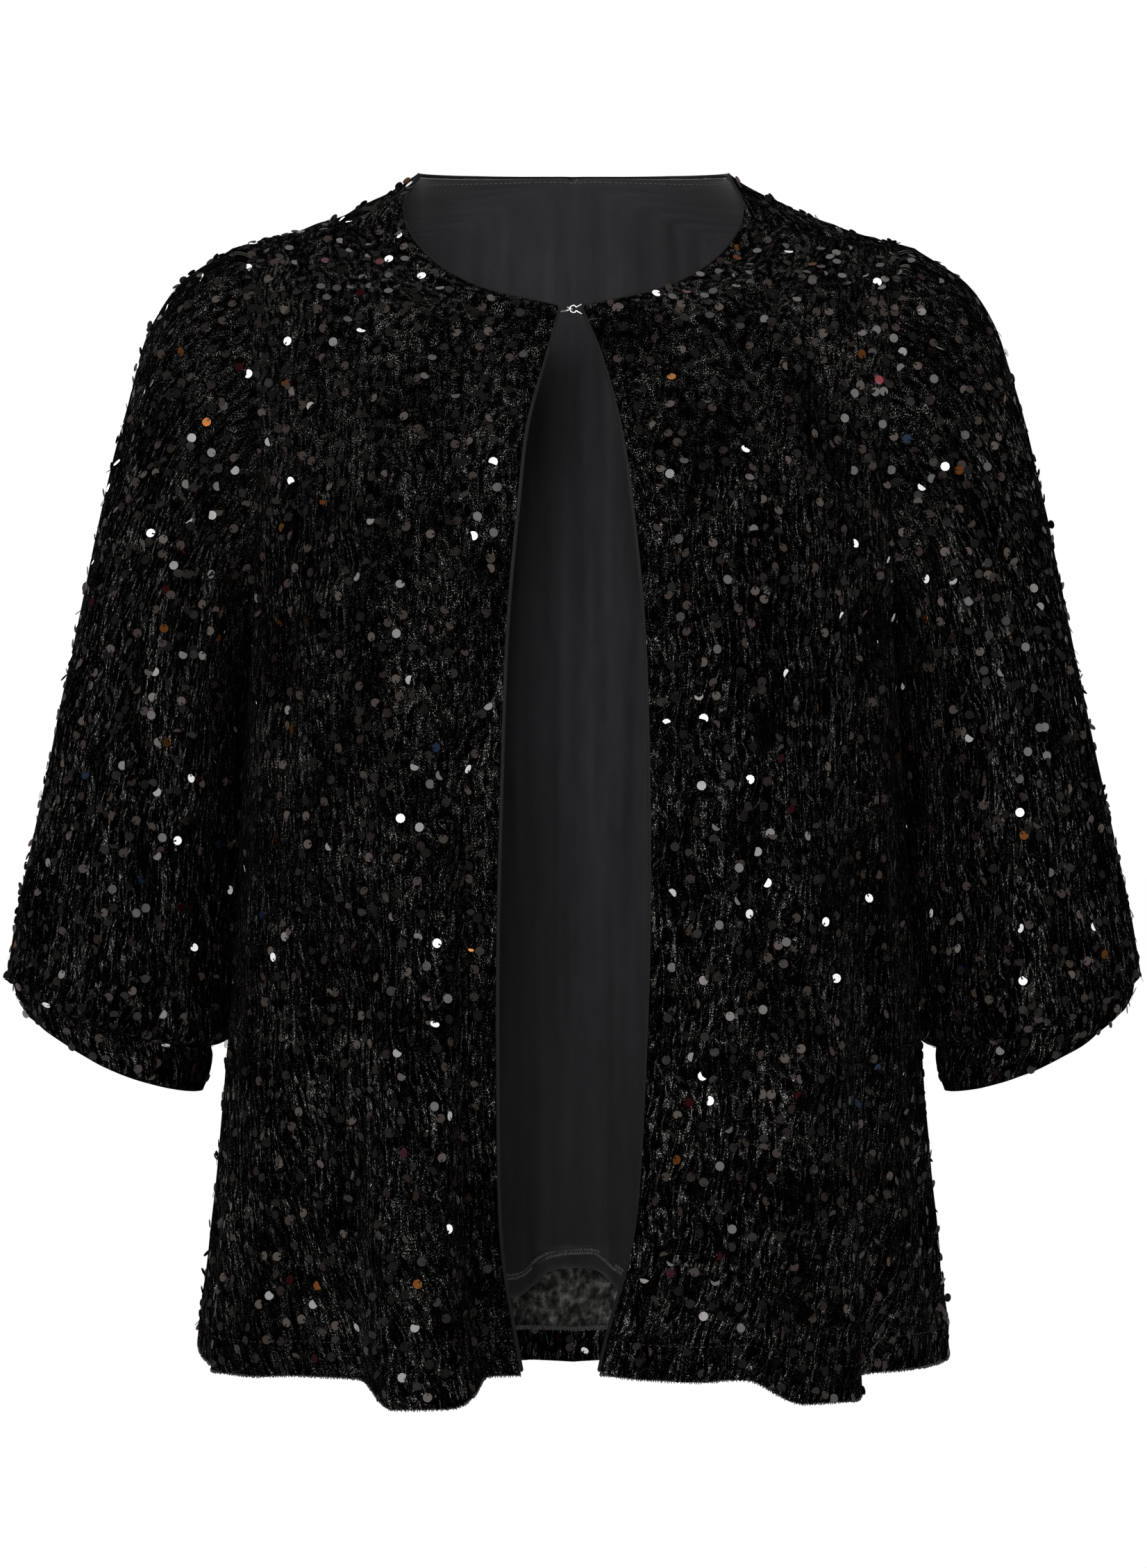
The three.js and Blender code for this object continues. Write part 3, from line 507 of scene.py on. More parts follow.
def wall(name, outer, inner, faces, places, materials, turned=False, crush=None, inside=None):
    """A closed wall from outer cells and the inner points behind them. A cell's edge that no other cell
    walks the other way is open, and gets a rim. inside is the material number of each inner cell, and crush
    how much the pile is creased at each point."""
    if turned:
        faces, places = faces[:, ::-1], places[:, ::-1]
    used, faces = np.unique(faces, return_inverse=True)
    faces = faces.reshape(-1, 4)
    count = len(used)
    start, end = faces.ravel(), np.roll(faces, -1, 1).ravel()
    start_place, end_place = places.reshape(-1, 2), np.roll(places, -1, 1).reshape(-1, 2)
    is_open = ~np.isin(start * count + end, end * count + start)
    s, e = start[is_open], end[is_open]
    rims = np.stack([e, s, s + count, e + count], -1)
    rim_places = np.stack([end_place, start_place, start_place, end_place], 1)[is_open]
    corners = np.concatenate([faces, faces[:, ::-1] + count, rims])
    uv = np.concatenate([places, places[:, ::-1], rim_places])
    number = np.zeros(len(corners))
    if inside is not None:
        number[len(faces):2 * len(faces)] = inside
    vertices = np.concatenate([outer.reshape(-1, 3)[used], inner.reshape(-1, 3)[used]])
    values = None if crush is None else {"crush": np.tile(crush.ravel()[used], 2)}
    starts = np.arange(0, corners.size, 4)
    return mesh_object(name, vertices, corners.ravel(), starts, uv, values, materials, number)


def cell_areas(corners):
    """The area of each cell: half the cross product of its two diagonals."""
    return length_of(np.cross(corners[:, 2] - corners[:, 0], corners[:, 3] - corners[:, 1]))[:, 0] / 2


def triangles(obj):
    """How many triangles a mesh has: each face has two fewer than its corners."""
    return len(obj.data.loops) - 2 * len(obj.data.polygons)


# %% [markdown]
# ## Creases
#
# Crushed velvet never hangs quite smooth. There are two sizes of crease to model: a few long soft ridges and
# troughs that the eye can place, and the small ones, a centimetre apart, that cover everything. The long
# ones are listed row by row in a table. The small ones are value noise: random heights on a lattice
# that is stretched along the cloth, blended by an eased step between lattice points. Noise textures with a
# Displace modifier would do the same, but then the creases couldn't be held back at the seams.

# %% Long creases and small ones
LATTICE_WIDE, LATTICE_HIGH = 97, 89
LONG_CREASE_ENDS, LONG_CREASE_TOP = 0.35, 0.5
SWAY_BY_HEIGHT, SWAY_BY_PLACE = 9, 40
CREASE_BENDS = ((60, 55, 7), (24, 18, 2.5))
SMALL_CREASES = ((9, 42, 0.42), (17, 75, 0.75))


def value_noise(u, v, cell_u, cell_v, seed):
    """Random heights from -1 to 1 on a lattice of cell_u by cell_v, blended by an eased step both ways. The
    lattice repeats after so many cells that no two places on a piece are alike."""
    heights = np.random.default_rng(seed).uniform(-1, 1, (LATTICE_WIDE, LATTICE_HIGH))
    x, y = u / cell_u, v / cell_v
    i, j = np.floor(x).astype(int), np.floor(y).astype(int)
    a, b = ease(x - i, 0, 1), ease(y - j, 0, 1)
    left, right = i % LATTICE_WIDE, (i + 1) % LATTICE_WIDE
    ends = (j % LATTICE_HIGH, (j + 1) % LATTICE_HIGH)
    low, high = (lerp(heights[left, k], heights[right, k], a) for k in ends)
    return lerp(low, high, b)


def long_creases(rows, share, row):
    """The sum of soft ridges and troughs: each a bell curve across, centred on a line that leans and sways
    with height, and eased in and out at its two ends. One that starts at the first row isn't eased in."""
    total = np.zeros(np.broadcast_shapes(share.shape, row.shape))
    for at, low, high, width, depth, lean, sway in zip(*rows.values()):
        middle = (low + high) / 2
        centre = at + lean * (row - middle) + sway * np.sin(SWAY_BY_HEIGHT * (row - low) + SWAY_BY_PLACE * at)
        if low <= 0:
            ends = 1 - ease(row, high - LONG_CREASE_TOP * (high - low), high)
        else:
            eased = LONG_CREASE_ENDS * (high - low)
            ends = ease(row, low, low + eased) * (1 - ease(row, high - eased, high))
        total = total + depth * ends * np.exp(-(((share - centre) / width) ** 2))
    return total


def small_creases(uv, seed):
    """Two lattices of value noise, 9 by 42 mm and 17 by 75 mm, both bent sideways by two slower ones. Each is
    listed as its cell across, its cell along and how far it moves a point, all in millimetres."""
    u, v = uv[..., 0] / MM, uv[..., 1] / MM
    bent, height = u, 0
    for number, (wide, long, move) in enumerate(CREASE_BENDS):
        bent = bent + move * value_noise(u, v, wide, long, seed + number)
    for number, (wide, long, move) in enumerate(SMALL_CREASES, len(CREASE_BENDS)):
        height = height + move * value_noise(bent, v, wide, long, seed + number)
    return height


CREASE_COLUMNS = "at low high width depth lean sway"
FRONT_RIGHT_CREASES = table(
    CREASE_COLUMNS,
    (0.13, 0.0, 1.55, 0.05, 3.2, 0.02, 0.012), (0.05, 0.0, 1.3, 0.035, -2.2, 0.01, 0.006),
    (0.36, -0.1, 0.8, 0.05, -2.6, 0.05, 0.015), (0.47, 0.1, 1.3, 0.045, 1.8, -0.03, 0.012),
    (0.58, 0.5, 1.7, 0.05, -1.9, 0.06, 0.02), (0.71, 0.0, 1.2, 0.045, 2.2, 0.02, 0.012),
    (0.83, 0.0, 1.0, 0.04, -2.4, 0.0, 0.01), (0.3, 0.9, 1.7, 0.05, 1.4, 0.12, 0.02),
    (0.9, 0.9, 1.5, 0.05, 1.6, -0.1, 0.01),
)
FRONT_LEFT_CREASES = table(
    CREASE_COLUMNS,
    (0.12, 0.2, 1.5, 0.05, 2.6, 0.01, 0.01), (0.05, 0.0, 1.2, 0.03, -1.8, 0.01, 0.006),
    (0.22, 0.0, 0.9, 0.045, -2.0, 0.03, 0.014), (0.31, 0.3, 1.5, 0.05, 1.6, -0.05, 0.018),
    (0.56, 0.0, 1.3, 0.05, -3.0, 0.04, 0.015), (0.66, 0.2, 1.2, 0.045, 1.9, 0.02, 0.012),
    (0.78, 0.0, 1.0, 0.045, -2.2, 0.01, 0.012), (0.6, 1.1, 1.75, 0.07, 2.4, -0.28, 0.01),
    (0.72, 1.0, 1.7, 0.05, -1.8, -0.25, 0.01), (0.88, 0.0, 0.9, 0.04, 1.8, 0.0, 0.01),
)
SLEEVE_CREASES = table(
    CREASE_COLUMNS,
    (0.1, 0.3, 1.3, 0.03, -2.2, 0.04, 0.008), (0.17, 0.1, 0.8, 0.035, 1.8, -0.05, 0.01),
    (0.25, 0.45, 1.3, 0.028, 2.4, 0.03, 0.008), (0.33, 0.2, 1.0, 0.035, -1.9, -0.04, 0.01),
    (0.41, 0.4, 1.3, 0.03, 2.0, 0.02, 0.008), (0.52, 0.3, 1.2, 0.035, -1.5, 0.03, 0.01),
    (0.62, 0.4, 1.3, 0.03, 2.2, -0.03, 0.008), (0.71, 0.1, 0.9, 0.035, -2.0, 0.05, 0.01),
    (0.79, 0.45, 1.3, 0.028, 2.2, -0.02, 0.008), (0.9, 0.2, 1.1, 0.035, -1.8, 0.02, 0.01),
)
crease_tables = (FRONT_RIGHT_CREASES, FRONT_LEFT_CREASES, SLEEVE_CREASES)
print("long creases:", sum(len(rows["at"]) for rows in crease_tables))

# %% [markdown]
# ## Crushed velvet
#
# Velvet is a pile of fine threads. Where it is crushed, the threads lie flat in narrow creases that run down
# the cloth and catch the light as broken grey lines, and everything else is nearly black. An image would be
# one way to get that, but a node group works at any size and keeps the cloth sharp. The group reads the flat
# place of the cloth, bends it a little so the lines waver, and stretches noise along the cloth. It puts out
# a height for bump and a mask, the glint, for colour and roughness.

# %% Helpers for node trees


def add_node(tree, kind, inputs=None, **settings):
    """A new node with its settings; inputs gives each socket a number or an output to link."""
    node = tree.nodes.new(kind)
    for name, value in settings.items():
        setattr(node, name, value)
    for name, value in (inputs or {}).items():
        if isinstance(value, bpy.types.NodeSocket):
            tree.links.new(value, node.inputs[name])
        else:
            node.inputs[name].default_value = value
    return node


def math_node(tree, operation, *values):
    """One step of arithmetic on numbers or outputs."""
    return add_node(tree, "ShaderNodeMath", dict(enumerate(values)), operation=operation).outputs[0]


def stretched(tree, vector, across, along):
    """A place on the cloth counted in cells of the given size in millimetres."""
    inputs = {0: vector, 1: (1 / (across * MM), 1 / (along * MM), 1)}
    return add_node(tree, "ShaderNodeVectorMath", inputs, operation="MULTIPLY").outputs[0]


def noise(tree, vector, detail=1.0, roughness=0.5):
    """Smooth noise between 0 and 1, whose blobs are about one cell of the vector wide."""
    inputs = {"Vector": vector, "Scale": 1.0, "Detail": detail, "Roughness": roughness}
    return add_node(tree, "ShaderNodeTexNoise", inputs).outputs["Fac"]


def between(tree, value, low, high):
    """0 below low, 1 above high and straight between them."""
    inputs = {"Value": value, "From Min": low, "From Max": high}
    return add_node(tree, "ShaderNodeMapRange", inputs).outputs["Result"]


def new_group(name, inputs, outputs):
    """A shader node group with named sockets, and its two end nodes."""
    group = bpy.data.node_groups.new(name, "ShaderNodeTree")
    for direction, sockets in (("INPUT", inputs), ("OUTPUT", outputs)):
        for title, kind in sockets.items():
            group.interface.new_socket(title, in_out=direction, socket_type=kind)
    return group, group.nodes.new("NodeGroupInput"), group.nodes.new("NodeGroupOutput")


# %% The crushed pile as a node group


def make_crushed_pile():
    """Creases are the level lines of a noise stretched along the cloth: bright where it is near its middle
    value, so they waver, fork and never cross. Dashes and specks, a coarse and a fine noise, break them up.
    Loose specks gather in tufts, most of all where Crush is low. Patches, a slow noise, make whole areas
    brighter. Glint is creases times dashes times specks times Crush, plus the loose specks, all times
    patches. Each texture is given its cell across and along the cloth in millimetres."""
    inputs = {"Place": "NodeSocketVector", "Crush": "NodeSocketFloat"}
    outputs = {"Height": "NodeSocketFloat", "Glint": "NodeSocketFloat"}
    group, given, result = new_group("crushed_pile", inputs, outputs)
    place, crush = given.outputs["Place"], given.outputs["Crush"]

    def times(a, b):
        return math_node(group, "MULTIPLY", a, b)

    def plus(a, b):
        return math_node(group, "ADD", a, b)

    def texture(vector, across, along, detail=1.0):
        return noise(group, stretched(group, vector, across, along), detail)

    def level_line(field, width):
        apart = math_node(group, "ABSOLUTE", math_node(group, "SUBTRACT", field, 0.5))
        return between(group, apart, width, 0.0)

    sway = math_node(group, "SUBTRACT", texture(place, 8, 11, 2.0), 0.5)
    slow = math_node(group, "SUBTRACT", texture(place, 45, 60), 0.5)
    push = add_node(group, "ShaderNodeCombineXYZ", {"X": plus(times(sway, 3.5 * MM), times(slow, 16 * MM))})
    bent = add_node(group, "ShaderNodeVectorMath", {0: place, 1: push.outputs[0]}).outputs[0]

    folds = texture(bent, 4.2, 30, 1.5)
    creases = texture(bent, 3.2, 12)
    specks = between(group, texture(place, 0.5, 0.8), 0.56, 0.66)
    dashes = between(group, texture(bent, 2.6, 4.5), 0.38, 0.6)
    tufts = between(group, texture(bent, 4, 7, 2.0), 0.42, 0.7)
    patches = between(group, texture(bent, 34, 60, 2.0), 0.36, 0.62)

    lines = plus(level_line(folds, 0.045), times(level_line(creases, 0.035), 0.5))
    lines = times(lines, times(plus(dashes, 0.12), plus(times(specks, 1.2), 0.28)))
    lines = times(lines, crush)
    loose = times(times(specks, plus(times(tufts, 1.1), 0.12)), plus(times(crush, -1.1), 1.45))
    level = plus(times(patches, 0.55), 0.5)
    glint = times(plus(lines, loose), level)
    ridges = plus(times(level_line(folds, 0.2), crush), times(level_line(creases, 0.2), 0.4))
    height = plus(ridges, times(specks, 0.18))
    for title, socket in (("Height", height), ("Glint", glint)):
        group.links.new(socket, result.inputs[title])
    return group


crushed_pile = make_crushed_pile()
print("crushed pile:", len(crushed_pile.nodes), "nodes")

# %% Materials
# Heights in metres up the cloth for the jersey's painted shade: it lifts over the first pair and comes back
# in part over the second.
JERSEY_LOW_SHADE_ENDS_FROM_TO, JERSEY_HIGH_SHADE_FROM_TO = (0.05, 0.36), (0.42, 0.66)


def new_material(name, roughness, **constants):
    """A Principled material; constants are set on the shader's own sockets. Returns it, its tree and
    shader."""
    material = bpy.data.materials.new(name)
    material.use_nodes = True
    tree = material.node_tree
    shader = tree.nodes["Principled BSDF"]
    shader.inputs["Roughness"].default_value = roughness
    for title, value in constants.items():
        shader.inputs[title.replace("_", " ")].default_value = value
    return material, tree, shader


def cloth_place(tree):
    """The place on the flat cloth, from the piece's own UV map."""
    return add_node(tree, "ShaderNodeUVMap", uv_map="cloth").outputs["UV"]


def set_colour(tree, shader, colour, level):
    """Feeds a colour times a level to the shader."""
    node = add_node(tree, "ShaderNodeVectorMath", {0: colour, "Scale": level}, operation="SCALE")
    tree.links.new(node.outputs["Vector"], shader.inputs["Base Color"])


def bump(tree, shader, height, distance, strength=1.0):
    """Feeds a height in shares of distance, in millimetres, to the shader's normal."""
    inputs = {"Height": height, "Distance": distance * MM, "Strength": strength}
    node = add_node(tree, "ShaderNodeBump", inputs)
    tree.links.new(node.outputs["Normal"], shader.inputs["Normal"])


def mix_colours(tree, amount, low, high):
    """A colour between low and high."""
    node = add_node(tree, "ShaderNodeMix", {"Factor": amount}, data_type="RGBA")
    for socket, colour in (("A", low), ("B", high)):
        next(s for s in node.inputs if s.name == socket and s.type == "RGBA").default_value = (*colour, 1)
    return next(s for s in node.outputs if s.type == "RGBA")


def velvet_material(name, dark, bright, height):
    """Near-black pile with painted grey highlights: the glint mixes the two colours and takes off some
    roughness.
    """
    material, tree, shader = new_material(
        name, 0.8, Sheen_Weight=0.002, Sheen_Roughness=0.35, Specular_IOR_Level=0.0
    )
    place = cloth_place(tree)
    crush = add_node(tree, "ShaderNodeAttribute", attribute_name="crush").outputs["Fac"]
    pile = add_node(tree, "ShaderNodeGroup", node_tree=crushed_pile)
    tree.links.new(place, pile.inputs["Place"])
    tree.links.new(crush, pile.inputs["Crush"])
    # The glint is a painted highlight: it lightens the base colour towards the bright grey.
    glint = math_node(tree, "POWER", between(tree, pile.outputs["Glint"], 0.0, 1.5), 1.9)
    tree.links.new(mix_colours(tree, glint, dark, bright), shader.inputs["Base Color"])
    rough = math_node(tree, "SUBTRACT", 0.85, math_node(tree, "MULTIPLY", glint, 0.45))
    tree.links.new(rough, shader.inputs["Roughness"])
    bump(tree, shader, pile.outputs["Height"], height)
    return material


def shares(tree, *pairs):
    """A sum of outputs, each times its own share."""
    parts = [math_node(tree, "MULTIPLY", output, share) for output, share in pairs]
    total = parts[0]
    for part in parts[1:]:
        total = math_node(tree, "ADD", total, part)
    return total


def wrong_side_material(name, dark, light):
    """The back of the velvet: no pile, so a soft grey mottle, crinkled by the creases, with a fine weave. The
    mottle is lighter where the crinkle that bumps the cloth rises: in part its own tone, in part painted
    light on the crinkles' tops.
    """
    material, tree, shader = new_material(name, 0.85, Specular_IOR_Level=0.1)
    place = cloth_place(tree)
    crinkle = noise(tree, stretched(tree, place, 5, 7), 3.0, 0.55)
    weave = noise(tree, stretched(tree, place, 0.6, 0.6))
    # The colour follows the bump's crinkle and is lightest on its tops, which is painted light.
    tone = shares(tree, (crinkle, 0.75), (weave, 0.25))
    shade = math_node(tree, "POWER", between(tree, tone, 0.38, 0.66), 2.2)
    tree.links.new(mix_colours(tree, shade, dark, light), shader.inputs["Base Color"])
    bump(tree, shader, crinkle, 4.0, 1.0)
    return material


def jersey_material(name, colour, light, rib, sheen):
    """Fine knit: thin ribs along the cloth, a slow mottle, and soft long streaks that run along it. Its
    colour also
    carries painted shade: strong at the bottom of the cloth, none half way up and some again towards the top,
    eased between two pairs of heights in metres up the cloth."""
    material, tree, shader = new_material(
        name, 0.9, Sheen_Weight=sheen, Sheen_Roughness=0.5, Specular_IOR_Level=0.2
    )
    place = cloth_place(tree)
    knit = noise(tree, stretched(tree, place, rib, rib * 2.2))
    mottle = noise(tree, stretched(tree, place, 6, 22), 2.0)
    streaks = noise(tree, stretched(tree, place, 11, 170))
    tone = shares(tree, (knit, 0.35), (mottle, 0.2), (streaks, 0.45))
    up = add_node(tree, "ShaderNodeSeparateXYZ", {0: place}).outputs["Y"]
    # Painted shade: the colour is dimmed most at the bottom of the cloth, not at all half way up, and in part
    # again towards the top.
    out_of_low_shade, into_high_shade = between(tree, up, *JERSEY_LOW_SHADE_ENDS_FROM_TO), between(tree, up, *JERSEY_HIGH_SHADE_FROM_TO)
    level = shares(tree, (out_of_low_shade, 0.9), (into_high_shade, -0.65), (0.42, 1.0))
    knitted = mix_colours(tree, between(tree, tone, 0.34, 0.66), colour, light)
    set_colour(tree, shader, knitted, level)
    bump(tree, shader, knit, 0.25, 0.6)
    return material


VELVET = velvet_material("crushed_velvet", (0.0003, 0.0003, 0.0003), (0.44, 0.42, 0.4), 0.35)
WRONG_SIDE = wrong_side_material("wrong_side_of_velvet", (0.0065, 0.0065, 0.006), (0.16, 0.16, 0.15))
JERSEY = jersey_material("jersey", (0.0125, 0.0122, 0.0142), (0.034, 0.0333, 0.038), 0.5, 0.2)
EDGE_JERSEY = jersey_material("jersey_edge", (0.0035, 0.0034, 0.0035), (0.011, 0.0108, 0.011), 0.45, 0.01)
print("materials:", [m.name for m in bpy.data.materials])

# %% [markdown]
# ## The two fronts
#
# Each front is one piece: it runs from the open edge and half the neckline to the side seam, the armhole and
# the shoulder seam. It is a grid of share by row, worked out with the body's own formula, and the creases
# are added along its normals. They fade out over the last two centimetres before each seam, so that the
# edges still meet their neighbours, and at the side seam the front laps a hair over the back. Behind it lies
# its jersey lining, down to the turned-up hem.

# %% Building a front
PANEL_ROWS_LOW, PANEL_ROWS_HIGH, FRONT_COLUMNS = 150, 92, 92
SEAM_EASE, TOP_EASE, SIDE_SEAM_OVER = 0.05, 0.06, 0.3
SHOULDER_RIM_IN, SHOULDER_RIM_DOWN = 0.35, 0.94
CALM_WIDE, CALM_LONG, CALM_SHARE = 60, 90, 0.2
CRUSH_FADE, CRUSH_FADE_FROM, CRUSH_FADE_TO = 0.85, 1.2, 1.65
FLAT_APART = 3.0


def panel_rows(top):
    """Row numbers at even steps, closer together than a crease is wide."""
    low = np.linspace(0, 1, PANEL_ROWS_LOW)
    return np.concatenate([low, np.linspace(1, top, PANEL_ROWS_HIGH)[1:]])


def side_rims(points, normals, side, rows):
    """Where the wall runs: straight in, but straight across at the side seam, and in the armhole's own plane
    above it, where it also turns away from the sleeve."""
    into = -normals.copy()
    last = points[:, -1]
    rim = unit(point(0, ARMHOLE_MIDDLE_Y - last[:, 1], ARMHOLE_MIDDLE_Z - last[:, 2]))
    rim[:, 0] = -side * UNDERARM_RIM_TURN * np.maximum(rim[:, 2], 0)
    into[:, -1] = np.where((rows < 1)[:, None], point(-side, 0, 0), unit(rim))
    return into


def shoulder_rim(side):
    """Where the wall runs at the shoulder seam: down and a little towards the neck."""
    return unit(point(-SHOULDER_RIM_IN * side, 0, -SHOULDER_RIM_DOWN))


def crush_of(row, uv, seed):
    """How far the pile is creased in lines: mostly on the body, with calmer places, and little above the
    bust."""
    heights = value_noise(uv[..., 0] / MM, uv[..., 1] / MM, CALM_WIDE, CALM_LONG, seed)
    calm = 1 - CALM_SHARE + CALM_SHARE * heights
    return calm * (1 - CRUSH_FADE * ease(row, CRUSH_FADE_FROM, CRUSH_FADE_TO))


def front_panel(name, side, creases, seed):
    """The grid of a front, moved out along its normals by both sizes of crease, and the wall made from it."""
    rows = panel_rows(SEAM_ROW)
    share, row = np.meshgrid(np.linspace(0, 1, FRONT_COLUMNS), rows)
    points = mirrored(body(-1, side, share, row), side)
    turned = side < 0
    uv = upright_places(points, flat_places(points), PANEL_ROWS_LOW - 1) + (FLAT_APART * (2 + side), 0)
    quiet = ease(share, 0, SEAM_EASE) * (1 - ease(share, 1 - SEAM_EASE, 1))
    quiet = quiet * (1 - ease(row, SEAM_ROW - TOP_EASE, SEAM_ROW))
    out = quiet * (long_creases(creases, share, row) + small_creases(uv, seed))
    points = points + out[..., None] * normals_of(points, turned)
    points[-1, :, 1] -= SEAM_GAP / 2
    points[rows <= 1, -1, 1] += SIDE_SEAM_OVER
    normals = normals_of(points, turned)
    into = side_rims(points, normals, side, rows)
    into[-1] = shoulder_rim(side)
    index = np.arange(points[..., 0].size).reshape(points.shape[:2])
    inside = np.where(uv[1:, 1:, 1] < HEM_TURN_UP * MM, 0, 1).ravel()
    piece = wall(
        name, points, points + VELVET_WALL * into, cells_of(index), cells_of(uv), [VELVET, JERSEY], turned,
        crush_of(row, uv, seed + 8), inside,
    )
    return piece, dict(points=points, normals=normals, uv=uv, row=row, share=share)


panels = {}
for name, side, creases in (("right", -1, FRONT_RIGHT_CREASES), ("left", 1, FRONT_LEFT_CREASES)):
    piece, grid = front_panel(f"front_{name}_cloth", side, creases, 30 + side)
    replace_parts(piece, f"front_{name}")
    panels[f"front_{name}"] = grid
    across = grid["uv"][..., 0] - grid["uv"][:, :1, 0]
    print(piece.name, triangles(piece), "triangles, widest", across.max().round(3), "m, long",
          grid["uv"][-1, 0, 1].round(3), "m")

# %% [markdown]
# ## The back
#
# The back is cut in one and wraps over the shoulders to seams that lie a little forward, which is why a
# darker band of it shows beside the neck from in front. It is the same kind of grid in two halves that share
# their middle column up to the nape, where the neck opening parts them. Its inside is the wrong side of the
# velvet, a mottled grey that shows in the front gap below the lining.

# %% Building the back
BACK_COLUMNS, NAPE_ROWS, NECK_ROWS, WRAP_ROWS = 76, 70, 24, 6
WRAP = 2 - SEAM_ROW
NEAR, NECK_EASE = 1e-6, 0.05
BACK_CREASES = table(
    CREASE_COLUMNS,
    (-0.9, -0.1, 0.9, 0.04, -2.0, 0.0, 0.01), (-0.75, 0.2, 1.6, 0.05, 1.8, 0.04, 0.014),
    (-0.62, -0.1, 1.1, 0.05, -2.8, -0.02, 0.014), (-0.4, 0.5, 1.7, 0.06, 1.9, -0.06, 0.02),
    (-0.33, -0.1, 0.9, 0.045, -2.6, -0.03, 0.012), (-0.22, 0.2, 1.5, 0.05, 2.0, 0.03, 0.016),
    (-0.1, -0.1, 1.2, 0.05, -2.2, 0.02, 0.014), (0.02, 0.6, 1.75, 0.06, 1.6, 0.03, 0.02),
    (0.13, -0.1, 1.1, 0.045, -2.4, 0.02, 0.014), (0.26, 0.2, 1.5, 0.05, 2.2, -0.03, 0.016),
    (0.35, -0.1, 0.8, 0.045, -2.4, 0.03, 0.012), (0.48, 0.8, 1.7, 0.06, -1.8, 0.08, 0.02),
    (0.6, -0.1, 1.1, 0.05, -2.6, 0.02, 0.014), (0.7, 0.3, 1.6, 0.05, 1.8, -0.05, 0.012),
    (0.88, -0.1, 0.9, 0.04, -2.0, 0.0, 0.01),
)


def back_half(side, rows, folded=True, columns=BACK_COLUMNS, reach=1.0):
    """Half the back, from its middle out to a share. Past row 2 it runs on down the front to the shoulder
    seam."""
    share, row = np.meshgrid(np.linspace(0, reach, columns), rows)
    behind = body(1, side, share, np.minimum(row, 2), folded)
    before = body(-1, side, share, 4 - np.maximum(row, 2), folded)
    return mirrored(np.where((row > 2)[..., None], before, behind), side), share, row


def shared_middle(rows, columns):
    """Vertex numbers for two half grids, the second using the first one's middle column up to the nape."""
    first = np.arange(len(rows) * columns).reshape(len(rows), columns)
    second = first + first.size
    shared = rows <= NECK_BACK_ROW + NEAR
    second[shared, 0] = first[shared, 0]
    return first, second


def half_normals(points, side, rows):
    """Normals of half the back, with those of the shared column turned straight back."""
    normals = normals_of(points, side > 0)
    normals[rows <= NECK_BACK_ROW + NEAR, 0, 0] = 0
    return unit(normals)


def both_halves(halves, *keys):
    """The cells of both halves as one sheet, their flat places, and the arrays of the named keys joined."""
    first, second = shared_middle(halves[0]["row"][:, 0], halves[0]["row"].shape[1])
    faces = np.concatenate([cells_of(first), cells_of(second)[:, ::-1]])
    places = np.concatenate([cells_of(halves[0]["uv"]), cells_of(halves[1]["uv"])[:, ::-1]])
    return faces, places, *(np.concatenate([half[key] for half in halves]) for key in keys)


def back_rows():
    """Rows of the back with one exactly at the nape, and a few more over the shoulder."""
    low = np.linspace(0, 1, PANEL_ROWS_LOW)
    middle = np.linspace(1, NECK_BACK_ROW, NAPE_ROWS)[1:]
    high = np.linspace(NECK_BACK_ROW, 2, NECK_ROWS)[1:]
    return np.concatenate([low, middle, high, np.linspace(2, 2 + WRAP, WRAP_ROWS)[1:]])


def back_side(side, rows, seed):
    """One half of the back with its creases, which fade at its seams and, near the nape, at the neck."""
    points, share, row = back_half(side, rows)
    uv = upright_places(points, flat_places(points) * (side, 1), PANEL_ROWS_LOW - 1)
    normals = half_normals(points, side, rows)
    top = 2 + WRAP
    neck = np.where(row > NECK_BACK_ROW - NECK_EASE, ease(share, 0, SEAM_EASE), 1)
    neck = lerp(1, neck, ease(row, NECK_BACK_ROW - 2 * NECK_EASE, NECK_BACK_ROW))
    quiet = neck * (1 - ease(share, 1 - SEAM_EASE, 1)) * (1 - ease(row, top - TOP_EASE, top))
    out = quiet * (long_creases(BACK_CREASES, share * side, row) + small_creases(uv, seed))
    points = points + out[..., None] * normals
    points[-1, :, 1] += SEAM_GAP / 2
    normals = half_normals(points, side, rows)
    into = side_rims(points, normals, side, rows)
    into[-1] = shoulder_rim(side)
    return dict(points=points, normals=normals, into=into, uv=uv + (FLAT_APART * 5, 0), row=row, share=share)


rows = back_rows()
halves = [back_side(side, rows, 44) for side in (-1, 1)]
faces, places, points, into, row, uv = both_halves(halves, "points", "into", "row", "uv")
back = wall(
    "back_cloth", points, points + VELVET_WALL * into, faces, places, [VELVET, WRONG_SIDE],
    crush=crush_of(row, uv, 52), inside=np.ones(len(faces)),
)
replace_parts(back, "back")
panels["back_right"], panels["back_left"] = halves
half_width = np.abs(halves[0]["uv"][..., 0] - 5 * FLAT_APART).max().round(3)
print("back:", triangles(back), "triangles, half width", half_width,
      "m, long", halves[0]["uv"][..., 1].max().round(3), "m")

# %% [markdown]
# The bottom of the back is turned up inside and stitched 18 mm above the edge. The turn-up is a strip of the
# same grid, moved in behind the wall. It carries sequins too, and shows in the front gap as a black band.

